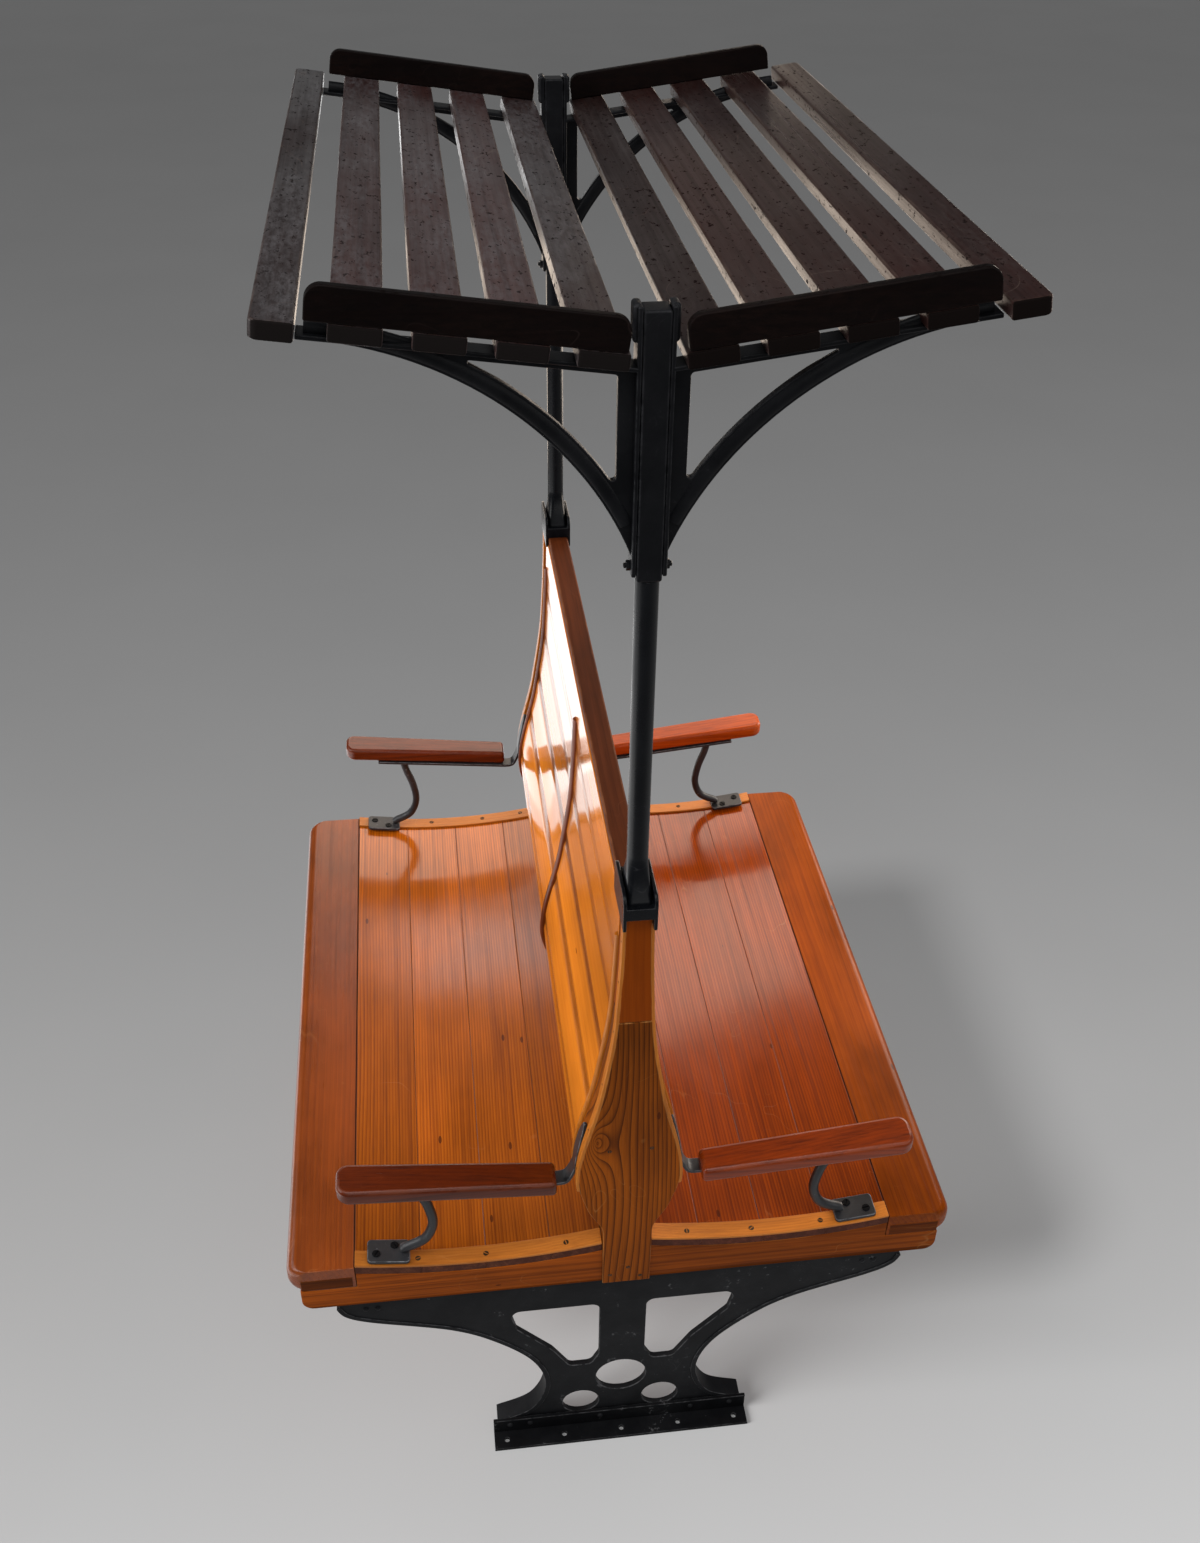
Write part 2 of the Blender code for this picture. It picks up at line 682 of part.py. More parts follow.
def make_pedestals():
    face, proud = PEDESTAL_FACE, PEDESTAL_FACE + PEDESTAL_RIM_PROUD
    back = face - PEDESTAL_RIM_DEPTH
    side = offset(pedestal_side(), PEDESTAL_RIM / 2)
    edge = [*side, (side[-1][0], PEDESTAL_HEIGHT - PEDESTAL_RIM / 2)]
    holes = [
        pedestal_window(),
        mirrored(pedestal_window()),
        circle((0, HUB_HOLE_HEIGHT), HUB_HOLE_RADIUS, 18),
        circle((SIDE_HOLE_OFFSET, SIDE_HOLE_HEIGHT), SIDE_HOLE_RADIUS, 14),
        circle((-SIDE_HOLE_OFFSET, SIDE_HOLE_HEIGHT), SIDE_HOLE_RADIUS, 14),
    ]
    web = upright_slab([edge + mirrored(edge), *holes], face - PEDESTAL_WEB, face)
    rim = ribbon(side, PEDESTAL_RIM / 2, PEDESTAL_RIM / 2)
    arm, foot, top = PEDESTAL_ARM_HALF, PEDESTAL_FOOT_HALF, PEDESTAL_HEIGHT
    others = [
        upright_slab([rim], back, proud),
        upright_slab([mirrored(rim)], back, proud),
        block((-arm, back - PEDESTAL_RIM, top - PEDESTAL_RIM), (arm, proud + FIT, top)),
        block((-foot, back - PEDESTAL_RIM, 0), (foot, proud + FIT, PEDESTAL_RIM)),
    ]
    mesh = combined(web, others, "UNION")
    for name, end in NEAR_FAR.items():
        place(f"pedestal_{name}", mesh, black_iron, 1, end)


def make_floor_angles():
    inner = PEDESTAL_FACE + PEDESTAL_RIM_PROUD + 2 * FIT
    half, leg, thick = PEDESTAL_FOOT_HALF + ANGLE_OVERHANG, ANGLE_LEG, ANGLE_THICKNESS
    low, high = inner + FIT, inner + leg
    screw_y = inner + (leg + thick) / 2
    holes = [circle((FLOOR_HOLE_PITCH * i, screw_y), FLOOR_HOLE_RADIUS, 12) for i in range(-2, 3)]
    plate = slab([[(-half, low), (half, low), (half, high), (-half, high)], *holes], thick)
    plate.transform(Matrix.Translation((0, 0, thick / 2)))
    upright = block((FIT - half, inner, FIT), (half - FIT, inner + thick, leg))
    mesh = combined(plate, [upright], "UNION")
    for name, end in NEAR_FAR.items():
        place(f"floor_angle_{name}", mesh, black_iron, 1, end)


# Rack posts and brackets


def make_rack_posts():
    inner = CAP_WIDTH / 2 + FIT
    outer = inner + SADDLE_PLATE
    seat = BACK_TOP + FIT
    crown = seat + SADDLE_CROWN
    bottom, top = seat - SADDLE_LEG + FIT, crown + SADDLE_EAR
    half = [(inner, seat), (inner, bottom), (outer, bottom), (outer, top), (inner, top), (inner, crown)]
    saddle = upright_slab([half + mirrored(half)], -SADDLE_LENGTH / 2, SADDLE_LENGTH / 2)
    saddle.transform(Matrix.Translation((0, RACK_Y, 0)))
    bore = PIPE_RADIUS - PIPE_WALL
    rim = UPRIGHT_BOTTOM - FIT
    pipe = turned(
        [
            (0, crown + PIPE_FLARE),
            (bore, crown + PIPE_FLARE),
            (bore, rim),
            (PIPE_RADIUS, rim),
            (PIPE_RADIUS, crown + PIPE_FLARE),
            (inner - FIT, crown + PIPE_FLARE / 8),
            (inner - FIT, crown - SADDLE_CROWN / 2),
            (0, crown - SADDLE_CROWN / 2),
        ],
        20,
    )
    pipe.transform(Matrix.Translation((0, RACK_Y, 0)))
    mesh = combined(saddle, [pipe], "UNION")
    for name, end in NEAR_FAR.items():
        place(f"rack_post_{name}", mesh, pipe_iron, 1, end)


def make_rack_uprights():
    half, deep = UPRIGHT_WIDTH / 2, UPRIGHT_DEPTH / 2
    bar = block((-half, RACK_Y - deep, UPRIGHT_BOTTOM), (half, RACK_Y + deep, UPRIGHT_TOP))
    bar = bevelled(bar, EDGE)
    radius = PIPE_RADIUS - PIPE_WALL - FIT
    low, high = UPRIGHT_BOTTOM - SPIGOT_LENGTH, UPRIGHT_BOTTOM + SPIGOT_LENGTH / 4
    spigot = pin((0, RACK_Y), radius, low, high, 20)
    mesh = combined(bar, [spigot], "UNION")
    for name, end in NEAR_FAR.items():
        place(f"rack_upright_{name}", mesh, black_iron, 1, end)


def strut_centre(low, high):
    """Centre and radius of the arc that the strut's lower edge follows, bowed up by BRACKET_SAG."""
    run, rise = high[0] - low[0], high[1] - low[1]
    chord = math.hypot(run, rise)
    radius = chord**2 / (8 * BRACKET_SAG) + BRACKET_SAG / 2
    drop = radius - BRACKET_SAG
    centre = ((low[0] + high[0]) / 2 + drop * rise / chord, (low[1] + high[1]) / 2 - drop * run / chord)
    return centre, radius


def arc_between(centre, low, high, count):
    """The short arc from low to high, which lie at one distance from the centre."""
    radius = math.dist(centre, low)
    first, last = (math.atan2(p[1] - centre[1], p[0] - centre[0]) for p in (low, high))
    angles = steps_between(first, last, count)
    return [(centre[0] + radius * math.cos(a), centre[1] + radius * math.sin(a)) for a in angles]


def bracket_window(centre, radius, side, under_arm):
    """The open triangle between the leg, the arm and the strut."""
    leg_low = (side, centre[1] + math.sqrt(radius**2 - (side - centre[0]) ** 2))
    # The arc meets the arm's underside where a point on the arm lies at the arc's radius.
    near, far = 0.0, OUTER_SLAT_START
    for _ in range(40):
        middle = (near + far) / 2
        inside = math.dist(rack_point(middle, under_arm), centre) < radius
        near, far = (near, middle) if inside else (middle, far)
    tip = rack_point(near, under_arm)
    corner = rack_point((side - under_arm * math.sin(RACK_SLOPE)) / math.cos(RACK_SLOPE), under_arm)
    strut = arc_between(centre, leg_low, tip, 8)
    soft = BRACKET_STRUT / 5
    edge = [(x, z, 0) for x, z in strut[1:-1]]
    return rounded([(*leg_low, soft), *edge, (*tip, soft / 2), (*corner, soft)], 3)


def bracket_web(inner, top, tip):
    """The flat casting with its open triangle."""
    low = (inner + BRACKET_FLANGE, BRACKET_BOTTOM + BRACKET_TOE)
    high = rack_point(tip, top + BRACKET_FLANGE * 1.5)
    centre, radius = strut_centre(low, high)
    end, root = (rack_point(s, top + BRACKET_FLANGE / 2) for s in (tip - FIT, low[0]))
    back, foot = inner + BRACKET_FLANGE / 2, BRACKET_BOTTOM + FIT
    outline = arc_between(centre, low, high, 12)
    outline += [end, (back, root[1]), (back, foot), (low[0], foot)]
    window = bracket_window(centre, radius + BRACKET_STRUT, inner + BRACKET_LEG, top + BRACKET_ARM)
    return upright_slab([outline, window], RACK_Y - BRACKET_WEB / 2, RACK_Y + BRACKET_WEB / 2)


def make_rack_brackets():
    inner = UPRIGHT_WIDTH / 2 + FIT
    top, tip = SLAT_THICKNESS + FIT, OUTER_SLAT_START - FIT
    deep = BRACKET_FLANGE_DEPTH / 2
    start, under = inner + FIT, top + BRACKET_FLANGE
    seat = [rack_point(start, top), rack_point(tip, top), rack_point(tip, under)]
    foot = [(start, rack_point(start, under)[1]), (start, seat[0][1])]
    arm = upright_slab([[*seat, *foot]], RACK_Y - deep, RACK_Y + deep)
    low = (inner, RACK_Y - deep + FIT, BRACKET_BOTTOM)
    high = (inner + BRACKET_FLANGE, RACK_Y + deep - FIT, seat[0][1] - BRACKET_FLANGE / 3)
    mesh = combined(bracket_web(inner, top, tip), [arm, block(low, high)], "UNION")
    for end_name, end in NEAR_FAR.items():
        for name, side in LEFT_RIGHT.items():
            place(f"rack_bracket_{end_name}_{name}", mesh, black_iron, side, end)


def make_slat(name, start, width, thickness, length):
    mesh = block((-width / 2, -length / 2, -thickness / 2), (width / 2, length / 2, thickness / 2))
    mesh = bevelled(mesh, EDGE)
    x, z = rack_point(start + width / 2, thickness / 2)
    mesh.transform(Matrix.Translation((x, 0, z)) @ Matrix.Rotation(-RACK_SLOPE, 4, "Y"))
    for side_name, side in LEFT_RIGHT.items():
        place(f"rack_slat_{side_name}_{name}", mesh, slat_wood, side)


def make_slats():
    length = 2 * (RACK_Y + SLAT_OVERHANG)
    for i in range(SLAT_COUNT):
        make_slat(i + 1, FIRST_SLAT + SLAT_PITCH * i, SLAT_WIDTH, SLAT_THICKNESS, length)
    length = 2 * (RACK_Y + OUTER_SLAT_OVERHANG)
    make_slat("outer", OUTER_SLAT_START, OUTER_SLAT_WIDTH, OUTER_SLAT_THICKNESS, length)


def make_fences():
    start, stop = FENCE_START, OUTER_SLAT_START - FENCE_MARGIN
    top = [(stop, FENCE_HEIGHT, FENCE_CORNER), (start, FENCE_HEIGHT, FENCE_CORNER)]
    outline = rounded([(start, FIT, 0), (stop, FIT, 0), *top])
    outer = RACK_Y + SLAT_OVERHANG
    tilted = [rack_point(along, -up) for along, up in outline]
    mesh = bevelled(upright_slab([tilted], outer - FENCE_THICKNESS, outer), EDGE / 2, 1)
    for end_name, end in NEAR_FAR.items():
        for name, side in LEFT_RIGHT.items():
            place(f"rack_fence_{end_name}_{name}", mesh, fence_wood, side, end)


# Arms


def make_arm_pads():
    inner = END - PAD_INSET
    grow = (PAD_FRONT_WIDTH - PAD_REAR_WIDTH) / 4
    plan = rounded([
        (PAD_REAR, inner, PAD_REAR_CORNER),
        (PAD_FRONT, inner - grow, PAD_FRONT_WIDTH / 3),
        (PAD_FRONT, inner - grow + PAD_FRONT_WIDTH, PAD_FRONT_WIDTH / 3),
        (PAD_REAR, inner + PAD_REAR_WIDTH, PAD_REAR_CORNER),
    ], 5)
    edge = min(PAD_EDGE, PAD_THICKNESS / 3, PAD_REAR_CORNER * 0.9)
    mesh = bevelled(slab([plan], PAD_THICKNESS), edge)
    tilt = Matrix.Identity(4)
    tilt[2][0] = (PAD_FRONT_RISE - PAD_REAR_RISE) / (PAD_FRONT - PAD_REAR)
    tilt[2][3] = pad_top(0) - PAD_THICKNESS / 2
    mesh.transform(tilt)
    for end_name, end in NEAR_FAR.items():
        for name, side in LEFT_RIGHT.items():
            place(f"arm_pad_{end_name}_{name}", mesh, pad_wood, side, end)


def strap_middle(x):
    """Height of the middle of the strap under the pad."""
    return pad_top(x) - PAD_THICKNESS - FIT - STRAP_THICKNESS / 2


def arm_strap_path():
    """Middle of the strap: under the pad from the front, then up against the back post."""
    low = strap_middle(PAD_REAR)
    heights = steps_between(low + STRAP_CURL, low + STRAP_RISE, 6)
    climb = offset([(back_half(z), z) for z in heights], -STRAP_THICKNESS / 2 - 2 * FIT)
    knee = (climb[0][0] + STRAP_CURL / 2.5, low + STRAP_CURL / 8)
    bend = smooth([(PAD_REAR, low), knee, climb[0], climb[1]], 4)
    return [(FOOT_CENTRE, strap_middle(FOOT_CENTRE)), *bend[:9], *climb[1:]]


def stanchion_path(plate_top):
    """Middle of the bar that sweeps back from the foot plate and rises to the strap."""
    low = plate_top + STANCHION_LIFT
    top = FOOT_CENTRE - STANCHION_SWEEP + STANCHION_RETURN
    rise = strap_middle(top) - low
    bends = [(FOOT_CENTRE - STANCHION_SWEEP * back, low + rise * up) for back, up in STANCHION_LINE]
    line = smooth([(FOOT_CENTRE, low), *bends, (top, strap_middle(top))], 2)
    return [(x, ARM_Y, z) for x, z in line]


def foot_plate(bottom):
    """The plate on the batten, tilted to lie along the dish."""
    half, side = FOOT_LENGTH / 2, FOOT_WIDTH / 2
    corners = [(x, y, FOOT_CORNER) for x, y in ((-half, -side), (half, -side), (half, side), (-half, side))]
    plate = bevelled(slab([rounded(corners, 3)], FOOT_THICKNESS), EDGE / 3, 1)
    tilt = math.atan(DISH_CURVATURE * (FOOT_CENTRE - DISH_MIDDLE))
    lie = Matrix.Translation((FOOT_CENTRE, ARM_Y, bottom)) @ Matrix.Rotation(-tilt, 4, "Y")
    plate.transform(lie @ Matrix.Translation((0, 0, FOOT_THICKNESS / 2)))
    return plate


def make_arm_irons():
    sag = DISH_CURVATURE * (FOOT_LENGTH / 2) ** 2 / 2
    bottom = dish(FOOT_CENTRE) + BATTEN_THICKNESS + sag + 3 * FIT
    bar = round_bar(stanchion_path(bottom + FOOT_THICKNESS), STANCHION_RADIUS)
    strap_outline = ribbon(arm_strap_path(), STRAP_THICKNESS / 2, STRAP_THICKNESS / 2)
    strap = upright_slab([strap_outline], ARM_Y - STRAP_WIDTH / 2, ARM_Y + STRAP_WIDTH / 2)
    mesh = combined(foot_plate(bottom), [bar, strap], "UNION")
    for end_name, end in NEAR_FAR.items():
        for name, side in LEFT_RIGHT.items():
            place(f"arm_iron_{end_name}_{name}", mesh, black_iron, side, end)


make_pedestals()
make_floor_angles()
make_end_rails()
make_middle_bearer()
make_nosings()
make_seat_boards()
make_battens()
make_back_posts()
make_middle_post()
make_linings()
make_cap_rail()
make_rack_posts()
make_rack_uprights()
make_rack_brackets()
make_slats()
make_fences()
make_arm_pads()
make_arm_irons()
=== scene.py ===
import json
import math
import bmesh
import bpy
from mathutils import Matrix, Vector, noise

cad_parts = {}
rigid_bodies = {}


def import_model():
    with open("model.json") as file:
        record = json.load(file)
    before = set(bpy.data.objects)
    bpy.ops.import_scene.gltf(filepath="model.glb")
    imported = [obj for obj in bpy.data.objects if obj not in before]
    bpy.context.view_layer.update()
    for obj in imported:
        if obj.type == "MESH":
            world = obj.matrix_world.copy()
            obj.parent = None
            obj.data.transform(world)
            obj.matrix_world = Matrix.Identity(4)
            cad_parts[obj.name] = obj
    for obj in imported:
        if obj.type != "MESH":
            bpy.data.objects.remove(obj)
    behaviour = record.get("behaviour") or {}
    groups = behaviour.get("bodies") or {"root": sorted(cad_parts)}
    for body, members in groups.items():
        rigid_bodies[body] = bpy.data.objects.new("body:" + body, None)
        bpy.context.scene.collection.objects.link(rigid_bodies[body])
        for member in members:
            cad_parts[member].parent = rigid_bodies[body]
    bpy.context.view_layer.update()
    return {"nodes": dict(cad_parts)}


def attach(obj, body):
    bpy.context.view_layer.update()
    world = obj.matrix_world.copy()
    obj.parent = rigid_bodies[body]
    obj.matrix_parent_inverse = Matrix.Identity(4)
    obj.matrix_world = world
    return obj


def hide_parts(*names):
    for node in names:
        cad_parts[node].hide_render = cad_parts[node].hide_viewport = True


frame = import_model()
scene = bpy.context.scene
ends = {"near": -1, "far": 1}
sides = {"left": -1, "right": 1}
corners = [(f"{end}_{side}", sides[side], ends[end]) for end in ends for side in sides]
print("frame loaded")

# Node tools: a socket given as an input is linked, anything else is set on it


def plug(node, inputs):
    for key, value in inputs.items():
        if isinstance(value, bpy.types.NodeSocket):
            node.id_data.links.new(value, node.inputs[key])
        else:
            node.inputs[key].default_value = value


def addNode(tree, kind, inputs=None, **options):
    made = tree.nodes.new(kind)
    for key, value in options.items():
        setattr(made, key, value)
    plug(made, inputs or {})
    return made


def newFinish(name):
    finish = bpy.data.materials.new(name)
    finish.use_nodes = True
    return finish, finish.node_tree, finish.node_tree.nodes["Principled BSDF"]


def calc(operation, *values, clamp=False):
    tree = next(value.id_data for value in values if isinstance(value, bpy.types.NodeSocket))
    options = {"operation": operation, "use_clamp": clamp}
    return addNode(tree, "ShaderNodeMath", dict(enumerate(values)), **options).outputs[0]


def plus(first, second):
    return calc("ADD", first, second)


def times(first, second):
    return calc("MULTIPLY", first, second)


def remap(value, low, high, outLow=0.0, outHigh=1.0):
    ranges = {"Value": value, "From Min": low, "From Max": high, "To Min": outLow, "To Max": outHigh}
    return addNode(value.id_data, "ShaderNodeMapRange", ranges).outputs[0]


def opaque(colour):
    return colour if isinstance(colour, bpy.types.NodeSocket) else (*colour, 1.0)


def blend(amount, first, second):
    colours = {0: amount, 6: opaque(first), 7: opaque(second)}
    return addNode(amount.id_data, "ShaderNodeMix", colours, data_type="RGBA").outputs[2]


def vectorCalc(operation, *values):
    inputs = dict(zip((0, "Scale" if operation == "SCALE" else 1), values))
    made = addNode(values[0].id_data, "ShaderNodeVectorMath", inputs, operation=operation)
    return made.outputs["Value" if operation == "LENGTH" else "Vector"]


def stretch(place, across, along):
    inputs = {"Vector": place, "Scale": (across, along, across)}
    return addNode(place.id_data, "ShaderNodeMapping", inputs).outputs[0]


def cloud(place, across, along, detail=2.0, roughness=0.5, distortion=0.0, output="Fac"):
    inputs = {"Vector": stretch(place, across, along), "Scale": 1.0}
    inputs |= {"Detail": detail, "Roughness": roughness, "Distortion": distortion}
    return addNode(place.id_data, "ShaderNodeTexNoise", inputs).outputs[output]


def hairLines(value, width, strength):
    return remap(calc("ABSOLUTE", calc("SUBTRACT", value, 0.5)), 0.0, width, strength, 0.0)


def attribute(tree, name):
    return addNode(tree, "ShaderNodeAttribute", attribute_name=name).outputs["Fac"]


grainTurns = {"X": (0, 0, math.pi / 2), "Y": (0, 0, 0), "Z": (math.pi / 2, 0, 0)}


def woodFinish(name, look):
    finish, tree, shader = newFinish(name)
    place = addNode(tree, "ShaderNodeTexCoord").outputs["Object"]
    turned = {"Vector": place, "Rotation": grainTurns[look["grain"]]}
    place = addNode(tree, "ShaderNodeMapping", turned).outputs[0]
    # slow sideways drift of the fibres
    drift = vectorCalc("SUBTRACT", cloud(place, 6, 1.3, output="Color"), (0.5, 0.5, 0.5))
    bent = vectorCalc("ADD", place, vectorCalc("SCALE", drift, look["sway"]))
    streaks = look["streaks"]
    streak = cloud(bent, streaks, streaks * look["run"], 5.0, 0.65)
    fibre = cloud(bent, streaks * 4, streaks * 0.09, 3.0, 0.6)
    # growth rings as a saw-tooth across the grain, swirled a little
    split = addNode(tree, "ShaderNodeSeparateXYZ", {0: bent}).outputs
    across = plus(split[0], times(split[2], 0.55))
    phase = plus(times(across, look["rings"]), times(cloud(place, 7, 0.9, 1.0), look["swirl"]))
    for centre, reach, turns in look["knots"]:
        away = vectorCalc("LENGTH", stretch(vectorCalc("SUBTRACT", place, centre), 1.0, 0.45))
        phase = plus(phase, times(calc("EXPONENT", calc("DIVIDE", away, -reach)), turns))
    ring = calc("POWER", calc("FRACT", phase), look["ringPower"])
    colour = blend(times(ring, look["ringAmount"]), look["light"], look["dark"])
    colour = blend(remap(streak, 0.46, 0.74, 0.0, look["streakAmount"]), colour, look["line"])
    colour = blend(remap(fibre, 0.52, 0.8, 0.0, look["fibreAmount"]), colour, look["line"])
    # broad tone changes, and the per-vertex tone: each board's own tone, which on the seat boards and the lining also
    # carries painted light and shade
    blotch = cloud(place, 5, 2.2, 4.0, 0.6)
    tone = calc("MULTIPLY_ADD", attribute(tree, "tone"), 0.5, 1.0)
    tone = times(tone, remap(blotch, 0.3, 0.7, 1.0 - look["blotch"], 1.0 + look["blotch"]))
    colour = addNode(tree, "ShaderNodeHueSaturation", {"Value": tone, "Color": colour}).outputs[0]
    if "greyFilmAndSheen" in look:  # grey film left on old varnish, which also serves as a painted sheen
        sheenFilmMask = remap(cloud(place, 17, 5, 4.0, 0.6), 0.34, 0.62, 0.1, 1.0)
        sheenFilmMask = times(sheenFilmMask, remap(cloud(place, 170, 46, 7.0, 0.78), 0.38, 0.62, 0.05, 1.0))
        colour = blend(times(sheenFilmMask, look["greyFilmAndSheenAmount"]), colour, look["greyFilmAndSheen"])
        pits = remap(cloud(place, 150, 75, 4.0, 0.66), 0.60, 0.66, 0.0, look["pits"])
    # small dents and nail spots
    cells = addNode(tree, "ShaderNodeTexVoronoi", {"Vector": stretch(place, 26, 9), "Scale": 1.0}).outputs
    chosen = addNode(tree, "ShaderNodeSeparateColor", {0: cells["Color"]}).outputs[0]
    spot = times(calc("LESS_THAN", cells["Distance"], 0.07), calc("GREATER_THAN", chosen, look["spotFree"]))
    colour = blend(times(spot, 0.75), colour, look["dirtAndShade"])
    # hair scratches in the varnish
    hair = hairLines(cloud(place, 11, 6, 1.0, 0.5, 1.4), 0.005, 1.0)
    hair = times(hair, remap(cloud(place, 9, 9), 0.5, 0.64))
    colour = blend(times(hair, look["scratch"]), colour, look["wear"])
    # worn arrises, dirt in the joints, and painted shade in the lining's grooves
    rub = cloud(place, 60, 14, 4.0, 0.7)
    worn = times(attribute(tree, "wear"), remap(rub, 0.42, 0.62))
    colour = blend(times(worn, look["wearAmount"]), colour, look["wear"])
    grimeAndShade = calc("MULTIPLY", attribute(tree, "dirtAndShade"), remap(rub, 0.2, 0.6, 0.65, 1.0), clamp=True)
    if "greyFilmAndSheen" in look:
        grimeAndShade = calc("MAXIMUM", grimeAndShade, pits)
    colour = blend(grimeAndShade, colour, look["dirtAndShade"])
    # varnish, duller where it is worn, dirty or in the painted groove shade
    vary = look["glossVary"]
    gloss = calc("MULTIPLY_ADD", remap(streak, 0.35, 0.7), 0.10 * vary, look["roughness"])
    gloss = plus(gloss, remap(blotch, 0.35, 0.7, -0.04 * vary, 0.09 * vary))
    gloss = plus(gloss, times(worn, 0.2))
    gloss = calc("ADD", gloss, times(grimeAndShade, look["dulling"]), clamp=True)
    # uneven boards, then the grain itself
    swell = {"Height": cloud(place, 14, 4), "Strength": look["uneven"], "Distance": 0.004}
    uneven = addNode(tree, "ShaderNodeBump", swell).outputs[0]
    relief = calc("MULTIPLY_ADD", fibre, 0.5, streak)
    relief = calc("SUBTRACT", relief, times(plus(spot, hair), 0.6))
    grain = {"Height": relief, "Strength": look["bump"], "Distance": 0.0006, "Normal": uneven}
    grain = addNode(tree, "ShaderNodeBump", grain).outputs[0]
    plug(shader, {"Base Color": colour, "Roughness": gloss, "Normal": grain})
    plug(shader, {"IOR": 1.47, "Specular IOR Level": look["specular"]})
    return finish


def ironFinish(name, look):
    finish, tree, shader = newFinish(name)
    place = addNode(tree, "ShaderNodeTexCoord").outputs["Object"]
    blotch = cloud(place, 14, 14, 5.0, 0.65)
    speck = cloud(place, 420, 420, 2.0, 0.6)
    rub = cloud(place, 75, 75, 5.0, 0.7)
    colour = blend(remap(blotch, 0.35, 0.68), look["paint"], look["faded"])
    # worn edges, chips and scratches in the paint
    worn = times(attribute(tree, "wear"), remap(rub, 0.40, 0.60))
    chip = remap(plus(rub, times(blotch, 0.4)), look["chip"], look["chip"] + 0.05)
    bare = calc("MAXIMUM", times(worn, look["wearAmount"]), times(chip, 0.6))
    colour = blend(bare, colour, look["bare"])
    hair = hairLines(cloud(place, 30, 30, 1.0, 0.5, 1.2), 0.004, 0.35)
    colour = blend(times(hair, remap(blotch, 0.5, 0.65)), colour, look["bare"])
    gloss = remap(blotch, 0.3, 0.7, look["roughness"] - 0.07, look["roughness"] + 0.1)
    gloss = plus(gloss, times(speck, 0.08))
    cast = {"Height": calc("MULTIPLY_ADD", rub, 0.8, speck), "Strength": look["bump"], "Distance": 0.0007}
    cast = addNode(tree, "ShaderNodeBump", cast).outputs[0]
    plug(shader, {"Base Color": colour, "Roughness": gloss, "Normal": cast})
    plug(shader, {"Metallic": look["metal"], "Specular IOR Level": look["specular"]})
    return finish


# Mesh tools


def newMesh():
    bm = bmesh.new()
    bm.verts.layers.float.new("wear")
    bm.verts.layers.float.new("dirtAndShade")
    return bm


def shift(x, y, z):
    return Matrix.Translation((x, y, z))


def grow(bm, faces, step, inside=False):
    # inside: the faces belong to a closed shell already, so the old ones go
    made = bmesh.ops.extrude_face_region(bm, geom=faces)["geom"]
    if inside:
        bmesh.ops.delete(bm, geom=faces, context="FACES_ONLY")
    bmesh.ops.transform(bm, matrix=step, verts=[item for item in made if isinstance(item, bmesh.types.BMVert)])
    return [item for item in made if isinstance(item, bmesh.types.BMFace)]


def prism(places, step):
    bm = newMesh()
    grow(bm, [bm.faces.new([bm.verts.new(place) for place in places])], step)
    bmesh.ops.recalc_face_normals(bm, faces=bm.faces)
    return bm


def barFromOutline(outline, lowY, highY):
    return prism([(x, lowY, z) for x, z in outline], shift(0, highY - lowY, 0))


def slabFromPlan(plan, lowZ, highZ):
    return prism([(x, y, lowZ) for x, y in plan], shift(0, 0, highZ - lowZ))


def boxMesh(low, high):
    bm = newMesh()
    bmesh.ops.create_cube(bm, size=1.0)
    bmesh.ops.scale(bm, vec=Vector(high) - Vector(low), verts=bm.verts)
    bmesh.ops.translate(bm, vec=(Vector(high) + Vector(low)) / 2, verts=bm.verts)
    return bm


def easeEdges(bm, width, segments=3, limit=40, pick=None):
    wear = bm.verts.layers.float["wear"]
    sharp = [edge for edge in bm.edges if edge.is_manifold and edge.calc_face_angle() > math.radians(limit)]
    if pick:
        spans = [(edge, *(vert.co for vert in edge.verts)) for edge in sharp]
        sharp = [edge for edge, start, stop in spans if pick((start + stop) / 2, stop - start)]
    made = bmesh.ops.bevel(bm, geom=sharp, offset=width, offset_type="OFFSET", segments=segments, profile=0.5,
                           affect="EDGES", clamp_overlap=True, material=-1)
    rounded = set(made["faces"])
    for vert in made["verts"]:
        if all(face in rounded for face in vert.link_faces):
            vert[wear] = 1.0


def cutAt(bm, place, normal, faces=None):
    parts = bm.verts[:] + bm.edges[:] + bm.faces[:]
    if faces:
        edges = dict.fromkeys(edge for face in faces for edge in face.edges)
        verts = dict.fromkeys(vert for face in faces for vert in face.verts)
        parts = [*faces, *edges, *verts]
    bmesh.ops.bisect_plane(bm, geom=parts, plane_co=place, plane_no=normal)


def soilAndShade(bm, amount):
    dirtAndShade = bm.verts.layers.float["dirtAndShade"]
    for vert in bm.verts:
        vert[dirtAndShade] = max(vert[dirtAndShade], amount(vert.co))


def neighbours(path, i):
    return path[max(i - 1, 0)], path[min(i + 1, len(path) - 1)]


def sweepPath(profile, path, sizes=None):
    # the profile's (outward, y) pairs are carried along a path of (x, z) pairs
    places = []
    for i, (x, z) in enumerate(path):
        before, after = neighbours(path, i)
        turn = math.atan2(after[0] - before[0], after[1] - before[1])
        size = Matrix.Diagonal((sizes[i] if sizes else 1.0, 1, 1, 1))
        places.append(shift(x, 0, z) @ Matrix.Rotation(turn, 4, "Y") @ size)
    bm = newMesh()
    faces = [bm.faces.new([bm.verts.new(places[0] @ Vector((out, y, 0))) for out, y in profile])]
    for last, now in zip(places, places[1:]):
        faces = grow(bm, faces, now @ last.inverted(), inside=last is not places[0])
    bmesh.ops.recalc_face_normals(bm, faces=bm.faces)
    return bm


